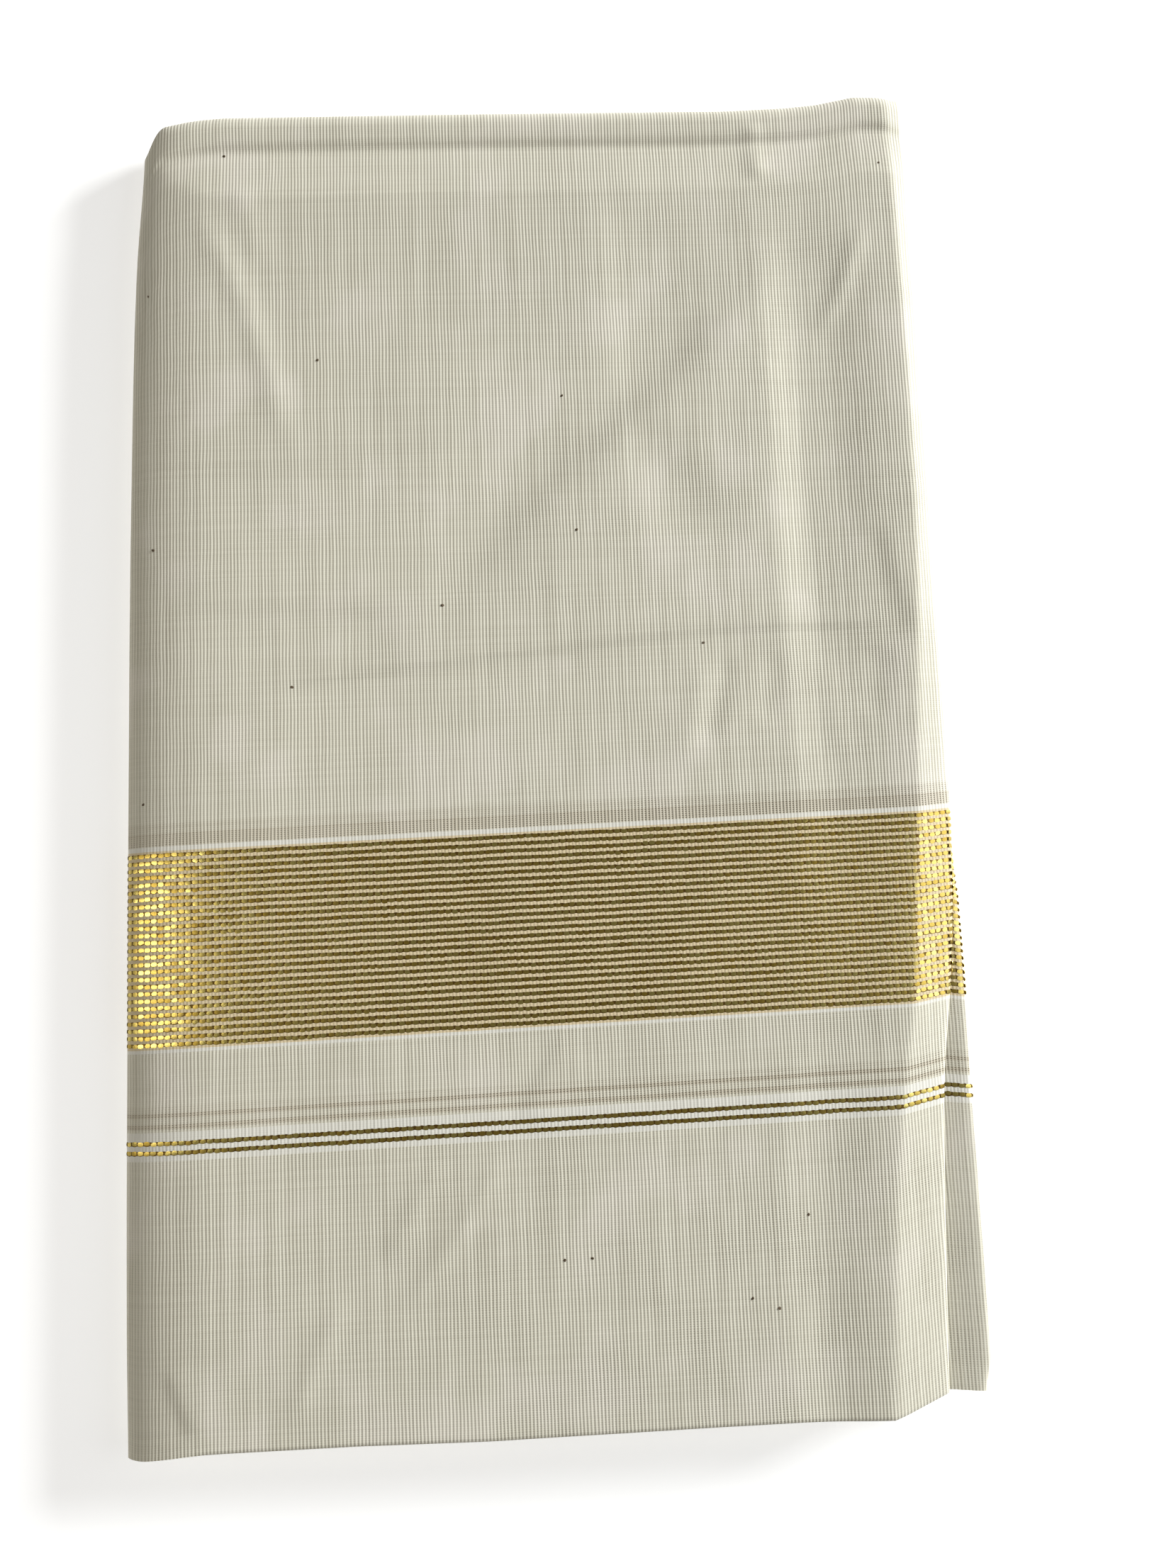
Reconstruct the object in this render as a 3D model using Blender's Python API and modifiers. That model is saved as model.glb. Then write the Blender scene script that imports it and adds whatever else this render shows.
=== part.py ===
"""A folded cotton dhoti with a woven gold border, lying flat as a packet.

Axes: +X across the packet, along the gold stripes; +Y from the open end of the top
layers towards the big fold; +Z up from the surface it rests on.  The origin is under
the middle of the packet's box.  Tables are in millimetres, with y counted from the
middle of the cloth's length, and are turned into metres where vertices are made.
"""

import bmesh
import bpy
import numpy as np

MM = 0.001

# ---- driving sizes, in millimetres -------------------------------------------------
HEIGHT = 14.0             # the whole packet, at the flat of its face
HALF_WIDTH = 125.5        # middle line to the left fold
HALF_LENGTH = 203.0       # middle line to the big fold, and to the open end
BOX_MIDDLE_Y = 2.2        # the box's middle lies this far towards the big fold
WALL = 1.2                # thickness of each stretch of cloth that shows
GAP = 0.3                 # clearance between neighbouring pieces
SECOND_FOLD_THICK = 1.6   # the eight layers of the second fold together
RIM = 0.4                 # rise of the face just before it slopes to its right fold
VALLEY = 0.6              # dip of the face beside that rim
SLOPE_DROP = 2.2          # fall of the face from the rim to its right fold
SLOPE_POWER = 1.25        # 1 is a straight ramp, more is rounder
SECOND_FOLD_TOP = 10.7    # height of the second fold's upper side

# ---- the woven design, as places along the cloth (v), in millimetres ----------------
V_OPEN_END = -202.0
V_GUARD_LOW = -122.3
V_GUARD_HIGH = -113.4
V_BAND_LOW = -91.7
V_BAND_HIGH = -31.0

# Side lines of the top layers at places along the cloth:
# v, left fold x, valley x, rim x, right fold x, lift of the threads at the right fold
SIDE_ROWS = (
    (-203.0, -124.6, 75.0, 93.5, 110.9, 2.6),
    (-174.0, -125.4, 75.0, 95.7, 112.5, 2.5),
    (-140.0, -125.5, 76.0, 99.0, 114.5, 2.3),
    (-114.0, -125.5, 79.0, 103.1, 116.3, 2.2),
    (-89.0, -125.5, 84.0, 108.4, 120.2, 1.6),
    (-62.0, -125.5, 86.0, 110.6, 123.0, 1.1),
    (-29.0, -125.5, 87.0, 113.8, 124.4, 0.7),
    (26.0, -125.4, 87.0, 117.6, 124.6, 0.0),
    (60.0, -125.2, 86.0, 119.8, 124.8, 0.0),
    (104.0, -124.7, 86.0, 120.4, 125.0, 0.0),
    (143.0, -124.1, 86.0, 120.4, 125.2, 0.0),
    (175.0, -122.9, 86.0, 120.1, 125.4, 0.0),
    (203.0, -119.4, 86.0, 119.5, 125.4, 0.0),
)
SIDE_COLUMNS = ("v", "left", "valley", "rim", "right", "lift")

# Ends of the packet at places across it: x, big fold y, open end y, lower fold y
END_ROWS = (
    (-125.0, 186.0, -203.0, -198.0),
    (-121.0, 189.0, -203.2, -201.0),
    (-118.5, 195.0, -203.2, -202.6),
    (-116.0, 198.6, -203.0, -202.6),
    (-108.0, 200.4, -202.4, -203.8),
    (-103.0, 201.2, -201.8, -202.2),
    (-96.0, 201.8, -201.5, -201.8),
    (-22.0, 202.8, -201.9, -202.8),
    (38.0, 203.3, -201.4, -203.2),
    (76.0, 203.6, -201.2, -203.4),
    (88.0, 204.6, -201.4, -203.6),
    (97.0, 205.6, -201.0, -201.6),
    (110.0, 208.3, -200.6, -198.8),
    (117.0, 208.2, -200.6, -198.6),
    (125.5, 207.0, -200.6, -197.6),
)
END_COLUMNS = ("x", "big_fold", "open_end", "lower_fold")

# Left fold of the top layers, from its tucked edge up and over to the face:
# inset from the fold, drop below the face
LEFT_FOLD = (
    (3.0, 7.8), (1.2, 7.2), (0.0, 5.6), (0.9, 4.2), (3.0, 3.0),
    (6.0, 2.0), (10.0, 1.2), (15.0, 0.6), (22.0, 0.15), (30.0, 0.0),
)

# Big fold, from the face over the lip and down to the underside: inset, drop
BIG_FOLD = (
    (27.0, 0.0), (13.2, 1.3), (11.5, 1.5), (9.5, 0.9), (6.0, 0.35), (3.0, 0.9),
    (1.2, 2.2), (0.0, 5.0), (0.2, 8.5), (1.0, 11.0), (2.6, 12.3),
)

# Columns of the face, as shares of the way from each side line to the next
FACE_SHARES = (0.2, 0.4, 0.6, 0.8, 0.93, 1.0)     # left fold to valley
RISE_SHARES = (0.4, 0.8, 1.0)                     # valley to rim
SLOPE_SHARES = (0.3, 0.6, 0.85, 1.0)              # rim to right fold

# Open end of the top layers: inset, drop
OPEN_END = ((0.0, 0.5), (0.4, 0.22), (1.5, 0.06), (5.0, 0.0))

# Fold of the lower layers at the open end: inset from its brow, height
LOWER_FOLD = (
    (9.0, 8.7), (4.0, 8.5), (1.2, 7.6), (0.0, 5.4), (0.6, 3.0), (2.2, 1.6),
)

# Edge of the second fold: inset from its brow, height as a share of its thickness
SECOND_FOLD_EDGE = ((3.0, 1.0), (1.1, 0.86), (0.0, 0.5), (1.1, 0.14), (3.0, 0.0))
SECOND_FOLD_HIDDEN = 9.0  # how far the second fold runs in under the top layers
# v, brow x of the second fold
SECOND_FOLD_ROWS = (
    (-198.4, 122.6), (-195.0, 124.4), (-174.0, 124.9), (-137.0, 125.0), (-114.0, 124.9),
    (-87.0, 125.2), (-60.0, 125.0), (-29.0, 123.6), (26.0, 123.2), (100.0, 123.6),
    (160.0, 123.6), (190.0, 121.5),
)

# The hidden layers, ring by ring upwards.  The insets are from the left fold, the
# right side, the second fold's hidden end, the open end and the big fold.
HIDDEN_RINGS = (
    # height, left, right, beside, open, big
    (1.5, 6.0, 5.0, 0.0, 9.0, 8.0),
    (1.8, 3.2, 2.2, 0.0, 5.0, 5.2),
    (2.3, 2.8, 1.3, 0.0, 4.0, 4.6),
    (2.8, 2.8, 2.6, 0.0, 3.8, 4.4),
    (3.4, 3.2, 1.2, 0.0, 3.6, 4.2),
    (3.8, 4.4, 1.4, 0.0, 3.6, 4.2),
    (4.2, 3.2, 2.7, 0.0, 3.6, 4.2),
    (4.8, 2.8, 1.2, 0.0, 3.6, 4.2),
    (5.3, 3.0, 1.4, 0.0, 3.6, 4.2),
    (5.7, 3.8, 2.8, 0.0, 3.6, 4.2),
    (6.1, 4.8, 1.5, 0.0, 3.8, 4.2),
    (6.6, 5.0, 1.2, 0.0, 5.0, 4.2),
    (7.0, 5.0, 2.7, 0.0, 10.4, 4.2),
    (7.6, 5.0, 1.3, 0.0, 10.4, 4.2),
    (8.2, 5.0, 1.2, 0.0, 10.4, 4.4),
    (8.8, 5.0, 2.4, 0.0, 10.4, 4.6),
    (8.85, 5.0, 3.4, 10.4, 10.4, 4.6),
    (9.1, 5.0, 3.4, 10.4, 2.8, 4.6),
    (9.7, 5.6, 3.4, 10.4, 1.9, 4.8),
    (10.2, 7.2, 3.4, 10.4, 2.8, 5.2),
    (10.7, 9.6, 3.4, 10.4, 2.0, 7.0),
    (11.2, 13.0, 3.4, 10.4, 2.9, 18.0),
    (11.8, 19.0, 3.4, 11.0, 2.6, 25.0),
)
RING_COLUMNS = ("height", "left", "right", "beside", "open", "big")
RING_CORNER = 9.0         # corner radius of the hidden layers, seen from above
RING_CORNER_STEPS = 3
RING_SIDE_STEPS = 12

# The underside: height, inset
UNDERSIDE_RINGS = ((0.0, 0.7), (0.4, 0.0), (1.2, 0.5))
UNDERSIDE_INSET = 5.5

CREAM = (0.69, 0.66, 0.56, 1.0)
SHADE_CREAM = (0.60, 0.56, 0.46, 1.0)
GOLD = (0.55, 0.40, 0.11, 1.0)


def column(rows, names, wanted, at):
    """Reads one named column of a table at a place given in its first column."""
    table = np.array(rows)
    return float(np.interp(at, table[:, 0], table[:, names.index(wanted)]))


def side(wanted, v):
    """A side line of the top layers at v."""
    return column(SIDE_ROWS, SIDE_COLUMNS, wanted, v)


def end(wanted, x):
    """An end of the packet at x."""
    return column(END_ROWS, END_COLUMNS, wanted, x)


def ramp(value, low, high):
    """0 below low, 1 above high, and smooth between them."""
    share = min(max((value - low) / (high - low), 0.0), 1.0)
    return share * share * (3.0 - 2.0 * share)


def thread_lift(x, v):
    """How far the crosswise threads have slid along +Y at x, between the two ends."""
    rise = 4.2 * ramp(v, -203.0, -90.0) * (1.0 - ramp(v, -20.0, 190.0))
    return rise * (x + HALF_WIDTH) / (2.0 * HALF_WIDTH)


def place_along(x, v):
    """The y of a thread v where it passes x."""
    at_big_fold = (end("big_fold", x) - HALF_LENGTH) * ramp(v, 100.0, 176.0)
    at_open_end = (end("open_end", x) - V_OPEN_END) * (1.0 - ramp(v, -197.0, -150.0))
    return v + thread_lift(x, v) + at_big_fold + at_open_end


def slope_share(x, v):
    """0 at the rim and 1 at the right fold of the top layers."""
    rim, right = side("rim", v), side("right", v)
    return min(max((x - rim) / (right - rim), 0.0), 1.0)


def right_relief(x, v):
    """Height of the valley, rim and slope at the right, measured from the face."""
    valley, rim = side("valley", v), side("rim", v)
    dip = -VALLEY * ramp(x, valley - 25.0, valley) * (1.0 - ramp(x, valley, rim))
    rise = RIM * ramp(x, valley, rim)
    return dip + rise - SLOPE_DROP * slope_share(x, v) ** SLOPE_POWER


def joined_drop(*drops):
    """Several rounded edges meeting at a corner."""
    return sum(max(drop, 0.0) ** 4 for drop in drops) ** 0.25


def face_columns(v):
    """Across the face at v: (x, drop of the left fold)."""
    left, valley, rim, right = (side(name, v) for name in ("left", "valley", "rim", "right"))
    across = [(left + inset, drop) for inset, drop in LEFT_FOLD]
    start = left + LEFT_FOLD[-1][0]
    across += [(start + (valley - start) * share, 0.0) for share in FACE_SHARES]
    across += [(valley + (rim - valley) * share, 0.0) for share in RISE_SHARES]
    across += [(rim + (right - rim) * share, 0.0) for share in SLOPE_SHARES]
    return across


def face_point(x, left_drop, v, end_drop):
    """A point of the outer surface of the top layers, in metres."""
    y = place_along(x, v) + side("lift", v) * slope_share(x, v)
    z = HEIGHT - joined_drop(left_drop, end_drop)
    flat = 1.0 - min(end_drop / 5.0, 1.0)
    return (x * MM, y * MM, (z + right_relief(x, v) * flat) * MM)


def field_rows():
    """Rows of the plain field: (v, drop), from the band over the big fold."""
    plain = [(v, 0.0) for v in (V_BAND_HIGH + GAP / 2, 0.0, 26.0, 60.0, 104.0, 140.0)]
    return plain + [(HALF_LENGTH - inset, drop) for inset, drop in BIG_FOLD]


def end_rows():
    """Rows of the end stretch: (v, drop), from the open end to the guard lines."""
    first = [(V_OPEN_END + inset, drop) for inset, drop in OPEN_END]
    return first + [(v, 0.0) for v in (-174.0, -148.0, V_GUARD_LOW - GAP / 2)]


def between(low, high, steps):
    """Rows of a stretch between two seams, each with no drop."""
    return [(v, 0.0) for v in np.linspace(low + GAP / 2, high - GAP / 2, steps + 1)]


def make_material(name, colour, roughness, metallic):
    """A plain Principled material."""
    material = bpy.data.materials.new(name)
    material.use_nodes = True
    shader = material.node_tree.nodes["Principled BSDF"]
    shader.inputs["Base Color"].default_value = colour
    shader.inputs["Roughness"].default_value = roughness
    shader.inputs["Metallic"].default_value = metallic
    return material


def add_object(name, mesh, material, collection):
    """Puts a mesh in the collection as a smooth-shaded object."""
    mesh.materials.append(material)
    mesh.shade_smooth()
    piece = bpy.data.objects.new(name, mesh)
    piece.location.y = -BOX_MIDDLE_Y * MM
    collection.objects.link(piece)
    return piece


def cloth_wall(name, grid, material, collection):
    """A stretch of cloth: a grid bent to the given points, thickened inwards."""
    rows, columns = len(grid), len(grid[0])
    shape = bmesh.new()
    bmesh.ops.create_grid(shape, x_segments=columns - 1, y_segments=rows - 1, size=1.0)
    shape.verts.ensure_lookup_table()
    for index, vertex in enumerate(shape.verts):
        vertex.co = grid[index // columns][index % columns]
    mesh = bpy.data.meshes.new(name)
    shape.to_mesh(mesh)
    shape.free()
    piece = add_object(name, mesh, material, collection)
    wall = piece.modifiers.new("cloth thickness", "SOLIDIFY")
    wall.thickness = WALL * MM
    wall.offset = -1.0
    wall.use_even_offset = False
    return piece


def loft(name, rings, material, collection):
    """A closed solid through rings of the same number of points, with both ends capped."""
    shape = bmesh.new()
    loops = [[shape.verts.new(point) for point in ring] for ring in rings]
    count = len(loops[0])
    for lower, upper in zip(loops, loops[1:]):
        for i in range(count):
            j = (i + 1) % count
            shape.faces.new((lower[i], lower[j], upper[j], upper[i]))
    shape.faces.new(tuple(reversed(loops[0])))
    shape.faces.new(tuple(loops[-1]))
    bmesh.ops.recalc_face_normals(shape, faces=shape.faces)
    mesh = bpy.data.meshes.new(name)
    shape.to_mesh(mesh)
    shape.free()
    return add_object(name, mesh, material, collection)


def face_stretch(name, rows, material, collection):
    """One woven stretch of the top layer, from its left fold to its right fold."""
    grid = [[face_point(*spot, v, drop) for spot in face_columns(v)] for v, drop in rows]
    return cloth_wall(name, grid, material, collection)


def second_fold(material, collection):
    """The lower group of layers, which looks out beside the top ones at the right."""
    rings = []
    for v, brow in SECOND_FOLD_ROWS:
        y = v + thread_lift(brow, v)
        inner = side("right", v) - SECOND_FOLD_HIDDEN
        base = SECOND_FOLD_TOP - SECOND_FOLD_THICK
        ring = [(inner, base + SECOND_FOLD_THICK)]
        ring += [(brow - inset, base + SECOND_FOLD_THICK * share) for inset, share in SECOND_FOLD_EDGE]
        ring += [(inner, base)]
        rings.append([(x * MM, y * MM, z * MM) for x, z in ring])
    return loft("second_fold", rings, material, collection)


def lower_fold(material, collection):
    """The fold of the lower layers that looks out under the open end."""
    places = [row[0] for row in END_ROWS[1:-1]] + [121.0]
    places[0] = -120.5
    grid = [
        [(x * MM, (end("lower_fold", x) + inset) * MM, z * MM) for x in places]
        for inset, z in reversed(LOWER_FOLD)
    ]
    return cloth_wall("lower_fold", grid, material, collection)


def rounded_ring(left, right, low, high, z):
    """Points round a rectangle with round corners, anticlockwise from above.

    left and right are functions of y, low and high functions of x, all in millimetres.
    """
    corner = RING_CORNER
    centres = (
        (right(low(0.0)) - corner, low(right(low(0.0)) - corner) + corner, -90.0),
        (right(high(0.0)) - corner, high(right(high(0.0)) - corner) - corner, 0.0),
        (left(high(0.0)) + corner, high(left(high(0.0)) + corner) - corner, 90.0),
        (left(low(0.0)) + corner, low(left(low(0.0)) + corner) + corner, 180.0),
    )
    ring = []
    for index, (cx, cy, start) in enumerate(centres):
        for step in range(RING_CORNER_STEPS + 1):
            angle = np.radians(start + 90.0 * step / RING_CORNER_STEPS)
            ring.append((cx + corner * np.cos(angle), cy + corner * np.sin(angle)))
        first, last = ring[-1], centres[(index + 1) % 4]
        for step in range(1, RING_SIDE_STEPS):
            share = step / RING_SIDE_STEPS
            if index % 2 == 0:
                y = first[1] + (last[1] - first[1]) * share
                edge = right(y) if index == 0 else left(y)
                ring.append((edge, y))
            else:
                x = first[0] + (last[0] - first[0]) * share
                edge = high(x) if index == 1 else low(x)
                ring.append((x, edge))
    return [(x * MM, y * MM, z * MM) for x, y in ring]


def hidden_layers(material, collection):
    """Every layer that doesn't show, as one solid with its edges in layers."""
    rings = []
    for row in HIDDEN_RINGS:
        ring = dict(zip(RING_COLUMNS, row))

        def right(y, ring=ring):
            outer = HALF_WIDTH - ring["right"]
            return min(outer, side("right", y) - ring["beside"]) if ring["beside"] else outer

        rings.append(rounded_ring(
            lambda y, ring=ring: side("left", y) + ring["left"],
            right,
            lambda x, ring=ring: max(end("open_end", x), end("lower_fold", x)) + ring["open"],
            lambda x, ring=ring: min(end("big_fold", x), HALF_LENGTH) - ring["big"],
            ring["height"],
        ))
    return loft("hidden_layers", rings, material, collection)


def underside(material, collection):
    """The bottom layer, flat where the packet rests."""
    inset = UNDERSIDE_INSET
    rings = [
        rounded_ring(
            lambda y, more=more: -HALF_WIDTH + inset + more,
            lambda y, more=more: HALF_WIDTH - inset - more,
            lambda x, more=more: -HALF_LENGTH + inset + more,
            lambda x, more=more: HALF_LENGTH - inset - more,
            z,
        )
        for z, more in UNDERSIDE_RINGS
    ]
    return loft("underside", rings, material, collection)


def build():
    """Clears the scene's objects and builds the packet."""
    for existing in list(bpy.data.objects):
        bpy.data.objects.remove(existing, do_unlink=True)
    packet = bpy.data.collections.new("folded_dhoti")
    bpy.context.scene.collection.children.link(packet)

    cotton = make_material("cream cotton", CREAM, 0.9, 0.0)
    shaded = make_material("inner cotton", SHADE_CREAM, 0.95, 0.0)
    zari = make_material("gold zari", GOLD, 0.4, 0.8)

    face_stretch("field_stretch", field_rows(), cotton, packet)
    face_stretch("border_band", between(V_BAND_LOW, V_BAND_HIGH, 4), zari, packet)
    face_stretch("gap_stretch", between(V_GUARD_HIGH, V_BAND_LOW, 2), cotton, packet)
    face_stretch("guard_lines", between(V_GUARD_LOW, V_GUARD_HIGH, 1), zari, packet)
    face_stretch("end_stretch", end_rows(), cotton, packet)
    second_fold(cotton, packet)
    lower_fold(cotton, packet)
    underside(cotton, packet)
    hidden_layers(shaded, packet)


build()
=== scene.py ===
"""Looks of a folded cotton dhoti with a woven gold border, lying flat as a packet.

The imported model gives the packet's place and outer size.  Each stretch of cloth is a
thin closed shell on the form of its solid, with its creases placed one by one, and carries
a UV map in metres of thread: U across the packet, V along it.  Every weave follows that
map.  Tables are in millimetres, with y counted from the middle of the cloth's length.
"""

import logging
import math
from dataclasses import dataclass
from enum import Enum
from typing import Any, Optional, Sequence, Union

import bpy
import numpy as np
from mathutils import Euler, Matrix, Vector


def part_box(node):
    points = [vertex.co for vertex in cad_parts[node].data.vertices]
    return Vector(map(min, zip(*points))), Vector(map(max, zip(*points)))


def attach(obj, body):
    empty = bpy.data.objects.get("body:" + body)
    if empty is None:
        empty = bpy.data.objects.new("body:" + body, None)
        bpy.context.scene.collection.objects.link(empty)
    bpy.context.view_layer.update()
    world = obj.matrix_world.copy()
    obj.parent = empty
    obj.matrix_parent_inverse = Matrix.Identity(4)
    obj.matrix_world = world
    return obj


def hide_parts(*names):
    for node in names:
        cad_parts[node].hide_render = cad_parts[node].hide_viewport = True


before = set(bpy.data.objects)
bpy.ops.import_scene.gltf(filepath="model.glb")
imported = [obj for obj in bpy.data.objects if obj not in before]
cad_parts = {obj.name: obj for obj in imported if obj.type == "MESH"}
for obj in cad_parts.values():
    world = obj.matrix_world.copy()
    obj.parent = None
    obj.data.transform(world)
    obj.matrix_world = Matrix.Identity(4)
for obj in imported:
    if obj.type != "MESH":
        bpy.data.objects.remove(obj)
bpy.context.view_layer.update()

log = logging.getLogger("dhoti")

MM = 0.001
UV_NAME = "UVMap"
SEED = 7

Array = np.ndarray
Pair = tuple[float, float]
Colour = tuple[float, float, float, float]

# ---- the packet's sizes, in millimetres ---------------------------------------------
HEIGHT = 14.0            # the whole packet, at the flat of its face
HALF_WIDTH = 125.5       # middle line to the left fold
HALF_LENGTH = 203.0      # middle line to the big fold, and to the open end
CLOTH = 0.35             # thickness of the cloth
OFF_FLOOR = 0.02         # least height of a shell's inner side
RIM = 0.4                # rise of the face just before it slopes to its right fold
SLOPE_DROP = 2.7         # fall of the face from the rim to its right fold
SLOPE_POWER = 1.05       # 1 is a straight ramp, more is rounder

# ---- the woven design, as places along the cloth (v) ---------------------------------
V_OPEN_END = -202.0
V_GUARD_LOW = -122.0
V_GUARD_HIGH = -113.5
V_BAND_LOW = -91.5
V_BAND_HIGH = -31.0
STRIPE_PITCH = 2.13      # gold stripe to gold stripe in the border
STRIPE_COUNT = 27
V_FIRST_STRIPE = -33.75  # middle of the stripe nearest the field
V_GUARD_STRIPES = (-117.05, -119.75)
FLOAT_PITCH = 2.06       # gold float to gold float along a stripe

# Rows of open weave: where they start and end, how soft their edges are, how open they are
OPEN_ROWS = (
    (-31.0, -27.2, 0.3, 1.0), (-27.4, -24.2, 0.9, 0.45), (-109.8, -108.5, 0.2, 1.0),
    (-113.0, -111.7, 0.2, 1.0), (-113.5, -106.5, 0.5, 0.25),
)

# Rows of thick white weft: where they start and end, how soft their edges are
DENSE_ROWS = ((-33.1, -31.1, 0.15), (-91.4, -90.1, 0.15), (-122.0, -113.9, 0.2))

UNDERSIDE_LOW, UNDERSIDE_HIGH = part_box("underside")
PACKET_SHIFT = (UNDERSIDE_LOW.y + UNDERSIDE_HIGH.y) / 2.0   # middle of the cloth, in metres


def ramp(value: Array, low: float, high: float) -> Array:
    """0 below low, 1 above high, and smooth between them.

    Args:
        value: The places to read.
        low: Where the ramp starts.
        high: Where it ends.

    Returns:
        The share at each place.
    """
    share = np.clip((value - low) / (high - low), 0.0, 1.0)
    return share * share * (3.0 - 2.0 * share)


def curve_through(points: Sequence[Pair], step: float) -> Array:
    """Evenly spaced places along a smooth curve through a few points.

    Args:
        points: The points the curve passes.
        step: The distance between places, about.

    Returns:
        One row per place: its two coordinates and its distance from the start.
    """
    knots = np.array(points, float)
    ends = np.vstack([2 * knots[0] - knots[1], knots, 2 * knots[-1] - knots[-2]])
    t = np.linspace(0.0, 1.0, 24, endpoint=False)[:, None]
    stretches = [
        0.5 * (2 * b + (c - a) * t + (2 * a - 5 * b + 4 * c - d) * t**2
               + (3 * b - a - 3 * c + d) * t**3)
        for a, b, c, d in zip(ends, ends[1:], ends[2:], ends[3:])
    ]
    dense = np.vstack([*stretches, knots[-1:]])
    run = np.r_[0.0, np.cumsum(np.linalg.norm(np.diff(dense, axis=0), axis=1))]
    at = np.linspace(0.0, run[-1], max(2, round(run[-1] / step) + 1))
    return np.stack([np.interp(at, run, dense[:, 0]), np.interp(at, run, dense[:, 1]), at], 1)


def ripple(x: Array, y: Array, wavelength: float, seed: int) -> Array:
    """Soft uneven waves about zero.

    Args:
        x: First coordinate of the places.
        y: Second coordinate of the places.
        wavelength: The usual distance from crest to crest.
        seed: Chooses the waves.

    Returns:
        The height at each place, mostly within 1 either way.
    """
    draw = np.random.default_rng(seed)
    height = np.zeros(np.broadcast(x, y).shape)
    for _ in range(7):
        heading, phase = draw.uniform(0.0, 2 * math.pi, 2)
        turns = 2 * math.pi / (wavelength * draw.uniform(0.7, 1.5))
        height += np.sin((x * math.cos(heading) + y * math.sin(heading)) * turns + phase)
    return height / 3.0


class Lines:
    """A short table of named columns, read softly between its rows."""

    def __init__(self, names: Sequence[str], rows: Sequence[Sequence[float]],
                 soften: float) -> None:
        """Keeps the table.

        Args:
            names: The columns' names; the first is the place.
            rows: The rows, in order of place.
            soften: How far each side of a place is averaged in.
        """
        self.columns = {name: np.array(values) for name, values in zip(names, zip(*rows))}
        self.places = np.array([row[0] for row in rows])
        self.soften = soften

    def at(self, name: str, place: Union[float, Array]) -> Array:
        """Reads one column.

        Args:
            name: The column.
            place: Where to read it.

        Returns:
            Its value at each place.
        """
        spread = np.array([-1.0, -0.5, 0.0, 0.5, 1.0]) * self.soften
        spots = np.asarray(place, float)[..., None] + spread
        return np.interp(spots, self.places, self.columns[name]).mean(axis=-1)


PRESSED = 1.25           # how strongly every crease stands


class Press(Enum):
    """How a crease stands in the cloth."""

    RIDGE = "a raised line, or a sunk one where its rise is negative"
    STEP = "cloth that lies higher to the left of the line than to its right"


@dataclass(frozen=True)
class Crease:
    """One crease of the face.

    Attributes:
        path: The points it runs through.
        rise: Its height.
        width: How far to each side it is steep.
        press: How it stands in the cloth.
        reach: How far from the line a step has died away.
        fade: The share of its length over which each end dies away.
    """

    path: tuple[Pair, ...]
    rise: float
    width: float
    press: Press = Press.RIDGE
    reach: float = 16.0
    fade: float = 0.25

    def height(self, x: Array, y: Array) -> Array:
        """The crease's height.

        Args:
            x: Places across the packet.
            y: Places along the packet.

        Returns:
            The height at each place.
        """
        knots = np.array(self.path, float)
        lengths = np.linalg.norm(np.diff(knots, axis=0), axis=1)
        starts = np.r_[0.0, np.cumsum(lengths)]
        best = np.full(x.shape, 1e9)
        offside = np.zeros(x.shape)
        along = np.zeros(x.shape)
        for start, stop, length, before in zip(knots, knots[1:], lengths, starts):
            run = (stop - start) / length
            t = np.clip((x - start[0]) * run[0] + (y - start[1]) * run[1], 0.0, length)
            dx, dy = x - start[0] - run[0] * t, y - start[1] - run[1] * t
            distance = np.hypot(dx, dy)
            nearer = distance < best
            best = np.where(nearer, distance, best)
            offside = np.where(nearer, run[0] * dy - run[1] * dx, offside)
            along = np.where(nearer, (before + t) / starts[-1], along)
        ends = ramp(along, 0.0, self.fade) * (1.0 - ramp(along, 1.0 - self.fade, 1.0))
        if self.press is Press.RIDGE:
            return PRESSED * self.rise * np.exp(-((best / self.width) ** 2)) * ends
        step = np.tanh(offside / self.width) * np.exp(-((best / self.reach) ** 2))
        return 0.5 * PRESSED * self.rise * step * ends


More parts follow.
